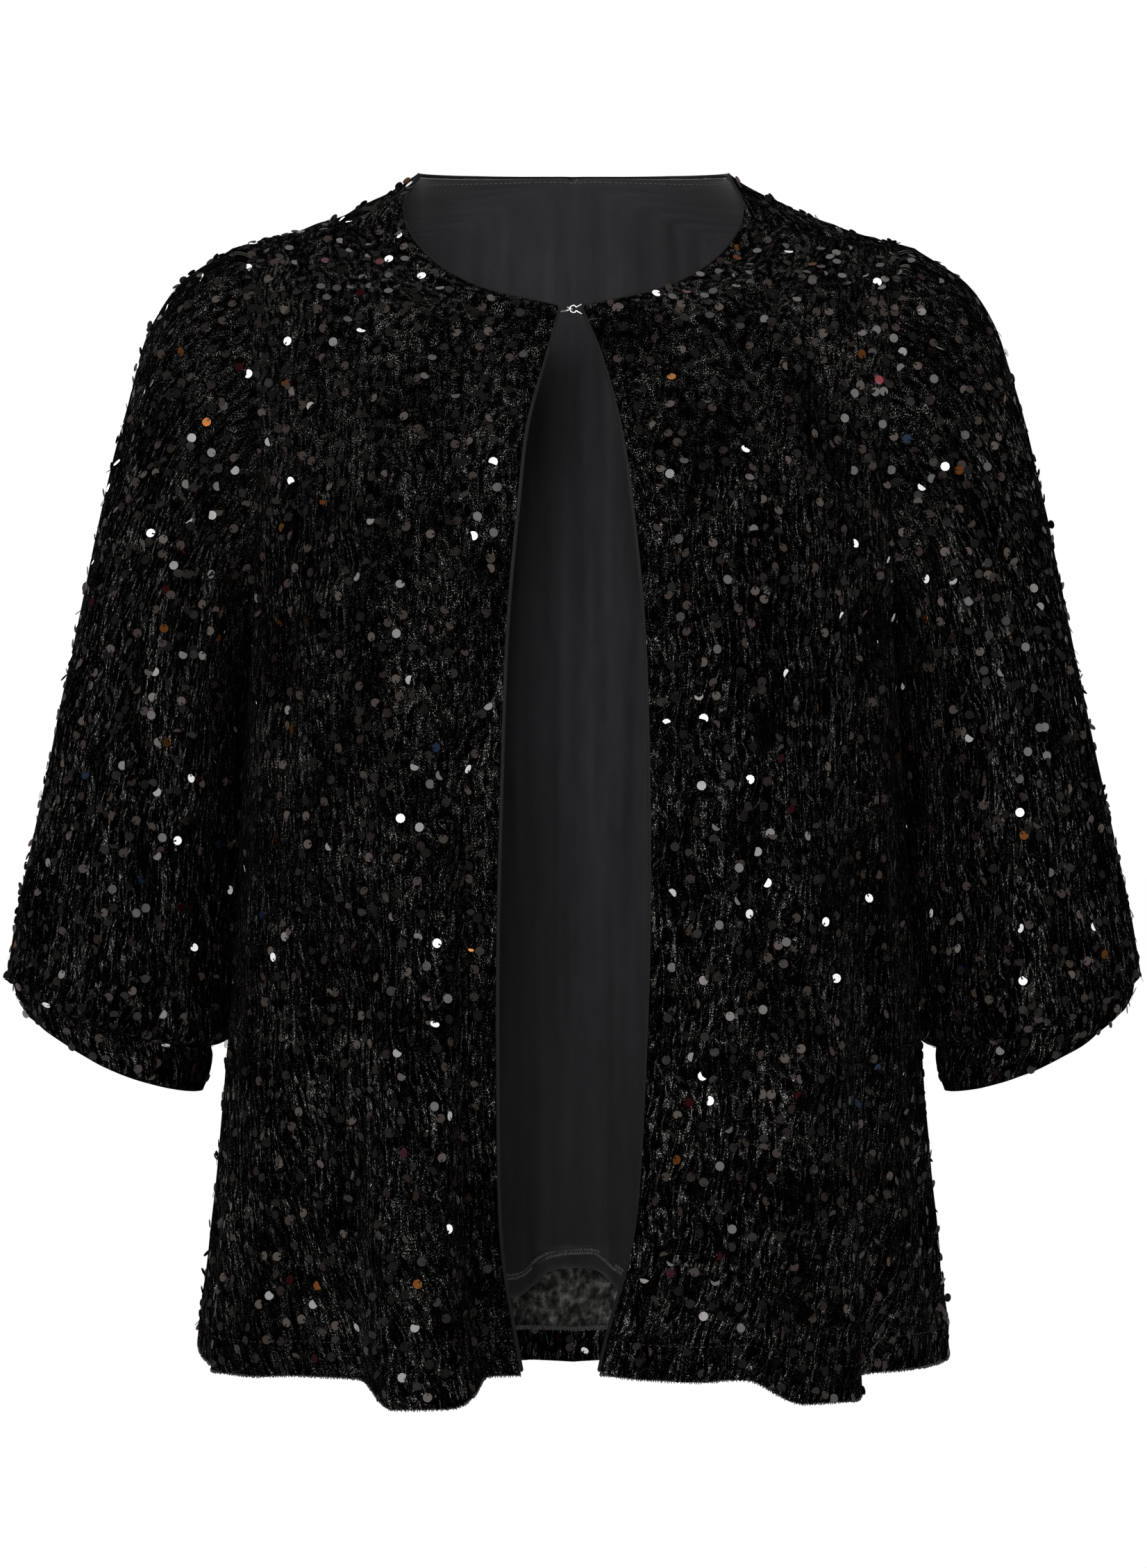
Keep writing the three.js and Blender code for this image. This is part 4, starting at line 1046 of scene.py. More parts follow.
# %% The turned-up hem of the back
HEM_COLUMNS_LEFT_OUT = 4
turn_up_row = HEM_TURN_UP / (UNDERARM_Z - SIDE_HEM_Z)
hem_rows = int(np.searchsorted(rows, turn_up_row)) + 1
hem_columns = BACK_COLUMNS - HEM_COLUMNS_LEFT_OUT
hem_sides = []
for half in halves:
    cut = {k: v[:hem_rows, :hem_columns] for k, v in half.items()}
    cut["points"] = cut["points"] - (VELVET_WALL + 2 * SEAM_GAP) * cut["normals"]
    hem_sides.append(cut)
faces, places, points, normals = both_halves(hem_sides, "points", "normals")
hem = wall(
    "hem_back_cloth", points, points - HEM_TURN_UP_WALL * normals, faces, places, [WRONG_SIDE, VELVET],
    crush=np.ones(points.shape[:2]), inside=np.ones(len(faces)),
)
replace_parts(hem, "hem_back")
print("turn-up:", triangles(hem), "triangles")

# %% [markdown]
# ## The lining of the back
#
# Through the front gap one looks at the lining of the back: charcoal jersey in long soft folds, with its own
# hem arching up in the middle. It hangs free, so its grid is the back's surface without the standing folds,
# moved inwards by the velvet's wall, a little air and the lining's own folds. Its folds are set out by their
# real place across the back, because those in the gap are seen closely.

# %% Sizes of the lining
LINING_CLEARANCE, LINING_BILLOW, LINING_FOLD_DEPTH, LINING_FOLDS = 0.6, 4, 2.2, 5
LINING_HEM_Z, LINING_ARCH, LINING_ARCH_SPREAD = -648, 18, 25
LINING_LOW_ROW, LINING_DEEP_ROW, LINING_TOP_ROW = 0.2, 0.1, 2
LINING_HANG_FROM, LINING_HANG_TO = 1.2, 1.75
LINING_SWAY, LINING_SWAY_HEIGHT = 3, 130
LINING_REACH = 15 / 16
LINING_COLUMNS, LINING_ROWS = 66, 150
LINING_CREASES = table(
    "x width depth",
    (-160, 9, 2.2), (-128, 8, -1.8), (-98, 8, 2.0), (-74, 6, -1.7), (-52, 6, 1.7), (-35, 4.5, 3.4),
    (-22, 4.5, -5), (-8, 5, 6), (6, 4, -1), (17, 5, -5), (28, 4.5, 4), (39, 4, -3),
    (54, 6, 1.8), (76, 7, -1.8), (101, 8, 2.0), (130, 8, -1.9), (158, 9, 1.9),
)


def lining_half(side):
    """Half the lining: the back's smooth surface moved in by folds across it, each a bell curve, which end
    where it is held at the top. The arch of its hem is worked into its lowest rows."""
    rows = np.linspace(turn_up_row, LINING_TOP_ROW, LINING_ROWS)
    points, share, row = back_half(side, rows, False, LINING_COLUMNS, LINING_REACH)
    uv = flat_places(points) * (side, 1)
    normals = half_normals(points, side, rows)
    hang = 1 - ease(row, LINING_HANG_FROM, LINING_HANG_TO)
    soft = LINING_FOLD_DEPTH * (1 + np.cos(LINING_FOLDS * np.pi * share))
    deep = VELVET_WALL + LINING_CLEARANCE + hang * (LINING_BILLOW + soft)
    x = points[..., 0] + LINING_SWAY * np.sin(points[..., 2] / LINING_SWAY_HEIGHT) * hang
    for at, width, depth in zip(*LINING_CREASES.values()):
        deep = deep + ease(row, 0, LINING_DEEP_ROW) * hang * depth * np.exp(-(((x - at) / width) ** 2))
    points = points - np.maximum(deep, VELVET_WALL + LINING_CLEARANCE)[..., None] * normals
    hem_z = LINING_HEM_Z + LINING_ARCH * np.exp(-((points[..., 0] / LINING_ARCH_SPREAD) ** 4))
    low = 1 - ease(row, turn_up_row, LINING_LOW_ROW)
    points[..., 2] += low * (hem_z - points[:1, :, 2])
    return dict(points=points, normals=normals, uv=uv + (FLAT_APART * 6, 0), row=row, share=share)


lining_sides = [lining_half(side) for side in (-1, 1)]
faces, places, points, normals = both_halves(lining_sides, "points", "normals")
lining = wall("lining_back_cloth", points, points - LINING_WALL * normals, faces, places, [JERSEY])
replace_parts(lining, "lining_back")
print("lining:", triangles(lining), "triangles")

# %% [markdown]
# ## Sleeves and cuffs
#
# A sleeve is a closed grid: its last column joins its first along the underarm seam, where the flat place
# starts again from nothing. Below its fullest ring the cloth rolls over and tucks under onto the cuff. That
# roll is one more cubic, which leaves in the sleeve's own direction and arrives pointing inwards, so the
# edge overhangs as the real one does. The cuff is a short band with creases that slant, because its gathers
# were pushed sideways.

# %% Building a sleeve and its cuff
SLEEVE_AROUND, SLEEVE_ALONG, ROLL_ROWS = 176, 132, 9
SLEEVE_END_ROW, ROLL_END_ROW = 1.2, 1.3
ROLL_DOWN, ROLL_IN, ROLL_CALM = 15, 7, 0.7
ARM_SEAM_EASE, LONG_SEAM_EASE = 0.08, 0.02
LEAN_OVERLAP, LEAN_SPREAD, LEAN_FROM, LEAN_FULL, LEAN_END_ROW = 0.4, 0.07, 0.02, 0.12, 1.28
SLEEVE_CRUSH_LOW, SLEEVE_CRUSH_FROM, SLEEVE_CRUSH_FULL = 0.35, 0.05, 0.35
CUFF_ROWS, CUFF_SLANT, CUFF_BULGE, CUFF_CREASE, CUFF_EASE = 15, 0.6, 1.6, 0.9, 0.2


def around_cells(rows, columns):
    """Vertex numbers of a closed grid, the first column again at the end."""
    index = np.arange(rows * columns).reshape(rows, columns)
    return np.concatenate([index, index[:, :1]], 1)


def sleeve_panel(name, side, seed):
    """The sleeve and its roll as rings of points, moved out by creases that fade at the armhole seam. Along
    the inner line the sleeve leans on the body: it is drawn over the gap by a bell curve round the seam."""
    turn_line = np.linspace(0, 1, SLEEVE_AROUND, endpoint=False)
    turn, along = np.meshgrid(turn_line, np.linspace(0, 1, SLEEVE_ALONG))
    sleeve = sleeve_surface(along, turn)
    last, before = sleeve[-1], sleeve[-3]
    tuck = ring_point(TUCK_RING, turn_line, SLEEVE_FRONT_DROP)
    centre = tuck.mean(0)
    roll = np.linspace(0, 1, ROLL_ROWS)[1:, None, None]
    leave = ROLL_DOWN * unit(last - before)
    arrive = ROLL_IN * unit(centre - tuck)
    points = np.concatenate([sleeve, hermite(last, tuck, leave, arrive, roll)])
    share = np.broadcast_to(turn_line, points.shape[:2])
    arm_rows = np.linspace(0, SLEEVE_END_ROW, SLEEVE_ALONG)
    roll_rows = np.linspace(SLEEVE_END_ROW, ROLL_END_ROW, ROLL_ROWS)[1:]
    row = np.broadcast_to(np.concatenate([arm_rows, roll_rows])[:, None], share.shape)
    seam = np.minimum(share, 1 - share)
    gap = points[:, :1, 0] - read(BODY, "side", points[:, :1, 2])
    leaning = ease(row, LEAN_FROM, LEAN_FULL) * (1 - ease(row, SLEEVE_END_ROW, LEAN_END_ROW))
    points[..., 0] -= leaning * np.exp(-((seam / LEAN_SPREAD) ** 2)) * (gap + LEAN_OVERLAP)
    points = mirrored(points, side)
    uv = flat_places(points, True)
    turned = side > 0
    normals = normals_of(points, turned, True)
    quiet = ease(row, 0, ARM_SEAM_EASE) * (1 - ROLL_CALM * ease(row, SLEEVE_END_ROW, ROLL_END_ROW))
    quiet = quiet * ease(seam, 0, LONG_SEAM_EASE)
    out = quiet * (long_creases(SLEEVE_CREASES, share, row) + small_creases(uv[:, :-1], seed))
    points = points + out[..., None] * normals
    points[0, :, 0] += side * SEAM_GAP
    normals = normals_of(points, turned, True)
    into = -normals.copy()
    into[0] = unit(point(0, ARMHOLE_MIDDLE_Y - points[0, :, 1], ARMHOLE_MIDDLE_Z - points[0, :, 2]))
    index = around_cells(*points.shape[:2])
    uv = uv + (FLAT_APART * (8 + side), 0)
    crush = SLEEVE_CRUSH_LOW + (1 - SLEEVE_CRUSH_LOW) * ease(row, SLEEVE_CRUSH_FROM, SLEEVE_CRUSH_FULL)
    piece = wall(
        name, points, points + VELVET_WALL * into, cells_of(index), cells_of(uv), [VELVET, WRONG_SIDE],
        turned, crush, np.ones(len(cells_of(index))),
    )
    return piece, dict(points=points, normals=normals, uv=uv[:, :-1], row=row, share=share)


def cuff_panel(name, side, seed):
    """The band below the tuck: rings between two ovals, with slanting creases and a soft bulge in its
    height."""
    top = ring_below(TUCK_RING, SEAM_GAP)
    turn, down = np.meshgrid(np.linspace(0, 1, SLEEVE_AROUND, endpoint=False), np.linspace(0, 1, CUFF_ROWS))
    ring = {c: lerp(top[c], CUFF_HEM_RING[c], down) for c in top}
    points = mirrored(ring_point(ring, turn, SLEEVE_FRONT_DROP), side)
    uv = flat_places(points, True)
    turned = side > 0
    normals = normals_of(points, turned, True)
    slanted = uv[:, :-1] + uv[:, :-1, 1:] * (CUFF_SLANT, 0)
    seam = np.minimum(turn, 1 - turn)
    quiet = ease(down, 0, CUFF_EASE) * ease(seam, 0, LONG_SEAM_EASE)
    out = quiet * (CUFF_BULGE * np.sin(np.pi * down) + CUFF_CREASE * small_creases(slanted, seed))
    points = points + out[..., None] * normals
    normals = normals_of(points, turned, True)
    index = around_cells(*points.shape[:2])
    uv = uv + uv[..., 1:] * (CUFF_SLANT, 0) + (FLAT_APART * (12 + side), 0)
    piece = wall(
        name, points, points - VELVET_WALL * normals, cells_of(index), cells_of(uv), [VELVET], turned,
        np.ones(points.shape[:2]),
    )
    return piece, dict(points=points, normals=normals, uv=uv[:, :-1], row=down, share=turn)


for name, side in (("right", -1), ("left", 1)):
    for part, builder, seed in (("sleeve", sleeve_panel, 60), ("cuff", cuff_panel, 70)):
        piece, panels[f"{part}_{name}"] = builder(f"{part}_{name}_cloth", side, seed + side)
        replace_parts(piece, f"{part}_{name}")
        uv = panels[f"{part}_{name}"]["uv"]
        print(piece.name, triangles(piece), "triangles, round",
              [round(float(np.ptp(uv[i, :, 0])), 3) for i in (0, -1)], "m, long", uv[..., 1].max().round(3))

# %% [markdown]
# ## The rolled edges
#
# The lining is rolled out along the front edges and the neck as a narrow, rounded cord of jersey, about 2 mm
# wide and nearly as dark as the velvet. It is a profile carried along a path: the path is the panel's own
# edge, and the profile a flattened circle that lies where the solid's strip lies.

# %% Rolled edges along the fronts and the neck
EDGING_WALL, EDGING_TRIM, EDGING_OVER = 1.2, 0.6, 0.4
EDGING_SIDES, EDGING_END, EDGING_ROUND, EDGING_ROUND_BY_WIDTH = 14, 0.05, 0.62, 0.14
EDGE_INSIDE = 0.008


def along_path(points):
    """The unit direction of a path at each of its points."""
    return unit(np.gradient(points, axis=0))


def rings_along(line, first, second, sides, end):
    """A circle carried along a line: its cosine goes one way and its sine the other, and its two ends are
    drawn together to a share of their size."""
    angle = np.linspace(0, 2 * np.pi, sides, endpoint=False)[None, :, None]
    size = np.ones((len(line), 1, 1))
    size[[0, -1]] = end
    return line[:, None] + size * (first[:, None] * np.cos(angle) + second[:, None] * np.sin(angle))


def tube(name, rings, material, places=None, turned=False):
    """A mesh over rings of points, closed by a face at each end. turned reverses every face, and places are
    those of the rings on the flat cloth."""
    index, sides, step = around_cells(*rings.shape[:2]), rings.shape[1], -1 if turned else 1
    faces = cells_of(index)[:, ::step]
    corners = np.concatenate([faces.ravel(), index[0, :-1][::step], index[-1, :-1][::-step]])
    starts = np.append(np.arange(0, faces.size, 4), [faces.size, faces.size + sides])
    uv = None
    if places is not None:
        uv = np.concatenate([cells_of(places)[:, ::step].reshape(-1, 2), np.zeros((2 * sides, 2))])
    return mesh_object(name, rings.reshape(-1, 3), corners, starts, uv, materials=[material])


def rolled_edge(name, edge, inner_line, into, width):
    """A flattened circle carried along an edge: it takes in the cut edge of the cloth, and is centred in the
    wall's thickness."""
    direction = along_path(edge)
    across = unit(np.cross(direction, into))
    across = across * np.sign(np.sum(across * (edge - inner_line), -1, keepdims=True))
    width = width[:, None]
    middle = edge + across * (width / 2 - EDGING_OVER) + into * EDGING_WALL / 2
    thick = EDGING_ROUND * EDGING_WALL + EDGING_ROUND_BY_WIDTH * width
    rings = rings_along(middle, across * width / 2, into * thick, EDGING_SIDES, EDGING_END)
    turned = np.sum(np.cross(direction, across) * into, -1).mean() < 0
    return tube(name, rings, EDGE_JERSEY, flat_places(rings, True), turned)


for name, side in (("right", -1), ("left", 1)):
    rows = panel_rows(SEAM_ROW)
    share, row = np.meshgrid([0, EDGE_INSIDE], rows)
    lines = mirrored(body(-1, side, share, row), side)
    into = -panels[f"front_{name}"]["normals"][:, 0]
    lines[[0, -1]] = lerp(lines[[0, -1]], lines[[1, -2]], EDGING_TRIM)
    width = lerp(FRONT_EDGE_ROLL, NECK_EDGE_ROLL, ease(rows, NECK_FRONT_ROW - 3 / ROWS_ABOVE, NECK_FRONT_ROW))
    edging = rolled_edge(f"edging_front_{name}_roll", lines[:, 0], lines[:, 1], into, width)
    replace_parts(edging, f"edging_front_{name}")
    print(edging.name, triangles(edging), "triangles")

neck_sides = []
for half in halves:
    neck = half["row"][:, 0] >= NECK_BACK_ROW - NEAR
    neck_sides.append([half["points"][neck, 0], half["points"][neck, 2], -half["normals"][neck, 0]])
edge, inner_line, into = (np.concatenate([a[::-1], b[1:]]) for a, b in zip(*neck_sides))
nape = len(neck_sides[0][0]) - 1
inner_line[nape] = halves[0]["points"][np.flatnonzero(neck)[0] - 2, 0]
edge[[0, -1]] = lerp(edge[[0, -1]], edge[[1, -2]], EDGING_TRIM)
edging = rolled_edge("edging_back_neck_roll", edge, inner_line, into, np.full(len(edge), NECK_EDGE_ROLL))
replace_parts(edging, "edging_back_neck")
print(edging.name, triangles(edging), "triangles")

# %% [markdown]
# ## Sequins
#
# About six and a half thousand flat discs, 5 mm across, are sewn on, each by one hole close to its rim. So
# each hangs from that hole and tips its own way: most lie nearly flat, some stand up and show as slivers.
# One disc is modelled once with a few dozen faces, and all discs of a panel are one joined mesh, placed by
# array arithmetic. Geometry Nodes could scatter them as well, but their spacing is easier to keep even here:
# the flat cloth is ruled into squares, and each square keeps one disc at a random place.

# %% One small shape repeated many times
SEQUIN_WIDE, SEQUIN_THICK, SEQUIN_HOLE_IN, SEQUIN_SIDES = 5.0, 0.16, 1.2, 10


def repeated(name, shape, face_corners, centres, frames, material, values=None, uv=None):
    """Copies of one small shape as a joined mesh: each copy is its points times a frame of three directions,
    plus a centre. face_corners lists the faces of the one shape."""
    count, size = len(centres), len(shape)
    vertices = centres[:, None] + np.einsum("pk,nkx->npx", shape, frames)
    corners = np.concatenate([np.array(f) for f in face_corners])
    lengths = np.array([len(f) for f in face_corners])
    starts = np.cumsum(lengths) - lengths
    all_corners = (corners[None] + size * np.arange(count)[:, None]).ravel()
    all_starts = (starts[None] + len(corners) * np.arange(count)[:, None]).ravel()
    all_uv = None if uv is None else np.tile(uv[corners], (count, 1))
    values = {k: np.repeat(v, size) for k, v in (values or {}).items()}
    obj = mesh_object(
        name, vertices.reshape(-1, 3), all_corners, all_starts, all_uv, values, [material], smooth=False
    )
    return obj


def sequin_shape():
    """A flat ten-sided disc with its hole end at the origin: the disc runs from there along its first
    axis."""
    angle = np.linspace(0, 2 * np.pi, SEQUIN_SIDES, endpoint=False)
    radius = SEQUIN_WIDE / 2
    flat = point(radius * np.cos(angle) + radius - SEQUIN_HOLE_IN, radius * np.sin(angle), 0)
    shape = np.concatenate([flat + (0, 0, SEQUIN_THICK / 2), flat - (0, 0, SEQUIN_THICK / 2)])
    top = list(range(SEQUIN_SIDES))
    bottom = [SEQUIN_SIDES + k for k in reversed(top)]
    after = [(k + 1) % SEQUIN_SIDES for k in top]
    sides = [[n, k, k + SEQUIN_SIDES, n + SEQUIN_SIDES] for k, n in zip(top, after)]
    return shape, [top, bottom, *sides]


print("one sequin:", len(sequin_shape()[0]), "points,", len(sequin_shape()[1]), "faces")

# %% The sequin's own material
HOLE_DARK_TO, HOLE_CLEAR_FROM, THREAD_DARK_TO, THREAD_CLEAR_FROM, THREAD_FADE = 0.5, 0.65, 0.3, 0.45, 0.2
METAL_TONES, METAL_SHARE = (0.972, 0.973), 0.8


def sequin_material():
    """Dark glossy film. The tone of a disc picks its colour: most are brown-black, a few amber or rose, and
    the last colours are metallic. A few are painted white, a painted glint for discs that would catch a lamp.
    The hole and the black thread from it to the rim are dark, read from the disc's own flat place."""
    material, tree, shader = new_material("sequin_film", 0.14, Specular_IOR_Level=0.32)
    tone = add_node(tree, "ShaderNodeAttribute", attribute_name="tone").outputs["Fac"]
    ramp = add_node(tree, "ShaderNodeValToRGB", {"Fac": tone})
    ramp.color_ramp.interpolation = "CONSTANT"
    # The white step, from 0.954 up to 0.973, is painted glint: discs coloured white as if they caught a lamp.
    stops = [
        (0.0, (0.003, 0.0024, 0.002)), (0.45, (0.011, 0.008, 0.0068)), (0.7, (0.03, 0.0225, 0.0195)),
        (0.86, (0.062, 0.05, 0.045)), (0.945, (0.17, 0.16, 0.157)), (0.954, (0.95, 0.93, 0.93)),
        (0.973, (0.2, 0.07, 0.015)), (0.984, (0.05, 0.006, 0.008)), (0.991, (0.04, 0.008, 0.016)),
        (0.996, (0.03, 0.05, 0.1)),
    ]
    for (place, colour), element in zip(stops[:2], ramp.color_ramp.elements):
        element.position, element.color = place, (*colour, 1)
    for place, colour in stops[2:]:
        ramp.color_ramp.elements.new(place).color = (*colour, 1)
    place = cloth_place(tree)
    hole = add_node(tree, "ShaderNodeVectorMath", {0: place}, operation="LENGTH").outputs["Value"]
    parts = add_node(tree, "ShaderNodeSeparateXYZ", {0: place}).outputs
    from_middle = math_node(tree, "ABSOLUTE", parts["Y"])
    beside = between(tree, from_middle, THREAD_DARK_TO * MM, THREAD_CLEAR_FROM * MM)
    beyond = between(tree, parts["X"], 0.0, THREAD_FADE * MM)
    off_thread = math_node(tree, "MAXIMUM", beside, beyond)
    off_hole = between(tree, hole, HOLE_DARK_TO * MM, HOLE_CLEAR_FROM * MM)
    clear = math_node(tree, "MINIMUM", off_hole, off_thread)
    set_colour(tree, shader, ramp.outputs["Color"], clear)
    metal = math_node(tree, "MULTIPLY", between(tree, tone, *METAL_TONES), METAL_SHARE)
    tree.links.new(math_node(tree, "MULTIPLY", metal, clear), shader.inputs["Metallic"])
    scratch = add_node(tree, "ShaderNodeTexNoise", {"Scale": 900.0, "Detail": 1.0})
    rough = math_node(tree, "ADD", math_node(tree, "MULTIPLY", scratch.outputs["Fac"], 0.14), 0.05)
    tree.links.new(rough, shader.inputs["Roughness"])
    return material


SEQUIN_FILM = sequin_material()

# %% Where the sequins go
SEQUIN_CELL, SEQUIN_LIFT, TRIES_IN_A_SQUARE = 12.6, (-0.4, 0.6), 14
LYING_SHARE, LYING_TIP, LYING_SPREAD = 0.82, 0.06, 0.15
STANDING_TIP, ROLLED_SPREAD = (0.3, 0.85), 0.13


def sown(grid, spacing, rng, margin, top_margin):
    """Random places on a grid, one in each square of the flat cloth: position, normal and the way along. A
    place is a cell, chosen with its area for weight, and a random spot between the cell's four corners."""
    points, normals, places = (cells_of(grid[key]) for key in ("points", "normals", "uv"))
    area = cell_areas(points)
    count = int(TRIES_IN_A_SQUARE * area.sum() / spacing**2)
    cell = rng.choice(len(area), count, p=area / area.sum())
    a, b = rng.uniform(0, 1, (2, count, 1))

    def blend(corners):
        c = corners[cell]
        return lerp(lerp(c[:, 0], c[:, 1], a), lerp(c[:, 3], c[:, 2], a), b)

    square = np.floor(blend(places) / (spacing * MM)).astype(int)
    _, first = np.unique(square, axis=0, return_index=True)
    share, row = (blend(cells_of(grid[key][..., None]))[:, 0] for key in ("share", "row"))
    spots, normal = blend(points), unit(blend(normals))
    along = unit((points[:, 3] - points[:, 0])[cell])
    keep = np.zeros(count, bool)
    keep[first] = True
    keep &= (share > margin[0]) & (share < 1 - margin[1]) & (row > top_margin[0]) & (row < top_margin[1])
    return spots[keep], normal[keep], along[keep], row[keep]


def tipped(normal, along, rng):
    """A frame for each disc. It points its own random way along the cloth, is tipped up from it, and rolled a
    little about its own length. Most tips are a few degrees; the rest stand well up."""
    count = len(normal)
    across = unit(np.cross(along, normal))
    way = rng.uniform(0, 2 * np.pi, (count, 1))
    first = np.cos(way) * across + np.sin(way) * along
    second = np.cross(normal, first)
    lying = rng.uniform(0, 1, (count, 1)) < LYING_SHARE
    low_tip = np.abs(rng.normal(0, LYING_SPREAD, (count, 1))) + LYING_TIP
    tip = np.where(lying, low_tip, rng.uniform(*STANDING_TIP, (count, 1)))
    roll = rng.normal(0, ROLLED_SPREAD, (count, 1))
    length = np.cos(tip) * first + np.sin(tip) * normal
    face = -np.sin(tip) * first + np.cos(tip) * normal
    side = np.cos(roll) * second + np.sin(roll) * face
    return np.stack([length, side, np.cross(length, side)], 1)


# %% Sewing them on
# For each kind of panel: how far the sequins keep from its two sides, in shares, and from which row to which.
SOWN = {
    "front": ((0.03, 0.0), (0.004, SEAM_ROW - 0.02)), "back": ((0.0, 0.0), (0.004, 2.05)),
    "sleeve": ((0.03, 0.03), (0.015, 1.27)), "cuff": ((0.006, 0.006), (0.1, 0.93)),
}
SOWING_SEED = 900
CLEAR_OF_MIDDLE, CLEAR_NAPE_WIDE, CLEAR_NAPE_DOWN = 3, 88, 7

disc, disc_faces = sequin_shape()
disc_uv = disc[:, :2] * MM
total = 0
sown_panels = [(f"{part}_{side}", *limits) for part, limits in SOWN.items() for side in ("right", "left")]
for number, (name, margin, ends) in enumerate(sown_panels):
    rng = np.random.default_rng(SOWING_SEED + number)
    spots, normal, along, row = sown(panels[name], SEQUIN_CELL, rng, margin, ends)
    if name.startswith("back"):
        beside = np.abs(spots[:, 0])
        at_middle = (beside < CLEAR_OF_MIDDLE) & (row <= NECK_BACK_ROW)
        at_nape = (beside < CLEAR_NAPE_WIDE) & (spots[:, 2] > NECK_BACK_Z - CLEAR_NAPE_DOWN)
        spots, normal, along = (v[~(at_middle | at_nape)] for v in (spots, normal, along))
    frames = tipped(normal, along, rng)
    tone = rng.uniform(0, 1, len(spots))
    lift = rng.uniform(*SEQUIN_LIFT, (len(spots), 1))
    centres = spots + lift * normal
    repeated(f"sequins_{name}", disc, disc_faces, centres, frames, SEQUIN_FILM, {"tone": tone}, disc_uv)
    total += len(spots)
print("sequins:", total)

# %% Sequins on the turned-up hem
HEM_SOWING_SEED, HEM_SEQUIN_LIFT = 950, 0.4
HEM_MARGIN, HEM_EDGE_ROW = (0, 0.02), 0.004


def inner_faces(halves, thick):
    """Halves as seen from inside: moved in by their thickness, with their normals turned round."""
    inwards = [(half, -half["normals"]) for half in halves]
    return [dict(half, points=half["points"] + thick * into, normals=into) for half, into in inwards]


rng = np.random.default_rng(HEM_SOWING_SEED)
hem_inside = inner_faces(hem_sides, HEM_TURN_UP_WALL)
hem_ends = (HEM_EDGE_ROW, turn_up_row - HEM_EDGE_ROW)
facing_in = [sown(half, SEQUIN_CELL, rng, HEM_MARGIN, hem_ends) for half in hem_inside]
spots, normal, along, _ = (np.concatenate(v) for v in zip(*facing_in))
frames = tipped(normal, along, rng)
tone = rng.uniform(0, 1, len(spots))
centres = spots + HEM_SEQUIN_LIFT * normal
repeated("sequins_hem_back", disc, disc_faces, centres, frames, SEQUIN_FILM, {"tone": tone}, disc_uv)
print("on the turn-up:", len(spots))

# %% [markdown]
# ## Stitches
#
# Four seams show. The cover stitch along the lining's hem is, on this side, a flat rope of slanting thread.
# A row of short stitches runs 5 mm below the back of the neck. The upper edge of the turned-up hem is
# overlocked, and a faint line of stitches that holds the hem up sinks into the pile outside. A long thread
# could be one curve, but what shows of it is a row of separate grains. So each stitch is a small lozenge of
# thread, and a seam is one joined mesh, made in the same way as the sequins. The loose pile that stands out
# along the fold of the hem is a row of such grains too.

# %% One grain of thread and a row of them
STITCH_SIDES, GRAIN_SHOULDER, PITCH_CHANCE = 5, 0.28, 0.08


def grain_shape():
    """A grain of thread, one unit long, wide and thick: two five-sided rings between two points."""
    angle = np.linspace(0, 2 * np.pi, STITCH_SIDES, endpoint=False)
    ring = point(0, np.cos(angle) / 2, np.sin(angle) / 2)
    shoulder = (GRAIN_SHOULDER, 0, 0)
    shape = np.concatenate([[[-0.5, 0, 0]], ring - shoulder, ring + shoulder, [[0.5, 0, 0]]])
    last = 2 * STITCH_SIDES + 1
    faces = []
    for k in range(STITCH_SIDES):
        a, b = 1 + k, 1 + (k + 1) % STITCH_SIDES
        c, d = a + STITCH_SIDES, b + STITCH_SIDES
        faces += [[0, b, a], [a, b, d, c], [last, c, d]]
    return shape, faces


def line_at(measure, points, normals, distance):
    """Where a measure that grows along the first axis reaches a distance, for each column: a blend of two
    rows."""
    i = np.clip((measure < distance).sum(0), 1, len(measure) - 1)
    column = np.arange(measure.shape[1])
    low, high = measure[i - 1, column], measure[i, column]
    t = np.clip((distance - low) / (high - low), 0, 1)[:, None]
    return [lerp(v[i - 1, column], v[i, column], t) for v in (points, normals)]


def above_hem(grid, distance):
    """The line across a panel that lies a distance above its first row, measured on the cloth."""
    along = grid["uv"][..., 1]
    return line_at((along - along[:1]) / MM, grid["points"], grid["normals"], distance)


def joined(right, left):
    """A line over both halves, from the wearer's right to the left, that crosses the middle once."""
    return [np.concatenate([r[::-1], l[1:]]) for r, l in zip(right, left)]


def stitch_row(name, line, size, pitch, material, slant=0.0, uneven=0.1, rows=(0.0,)):
    """Grains at an even pitch along a line, each turned from it by slant and by a little chance. size is a
    grain's length, width and height. rows lists how far beside the line each row of them lies; every other
    row slants the other way."""
    path, normals = line
    gone = np.append(0, np.cumsum(length_of(np.diff(path, axis=0))))
    rng = np.random.default_rng(len(path) + int(10 * pitch))
    centres, frames = [], []
    for number, beside in enumerate(rows):
        at = np.arange(pitch / 2, gone[-1], pitch)
        at = at + rng.normal(0, PITCH_CHANCE * pitch, len(at))
        lines = (path, normals, along_path(path))
        centre, normal, along = (
            np.stack([np.interp(at, gone, v[:, c]) for c in range(3)], -1) for v in lines
        )
        normal = unit(normal)
        along = unit(along - normal * np.sum(along * normal, -1, keepdims=True))
        across = np.cross(normal, along)
        turn = (slant * (-1) ** number + rng.normal(0, uneven, len(at)))[:, None]
        way = np.cos(turn) * along + np.sin(turn) * across
        centres.append(centre + beside * across)
        frames.append(np.stack([size[0] * way, size[1] * np.cross(normal, way), size[2] * normal], 1))
    grain, faces = grain_shape()
    return repeated(name, grain, faces, np.concatenate(centres), np.concatenate(frames), material)


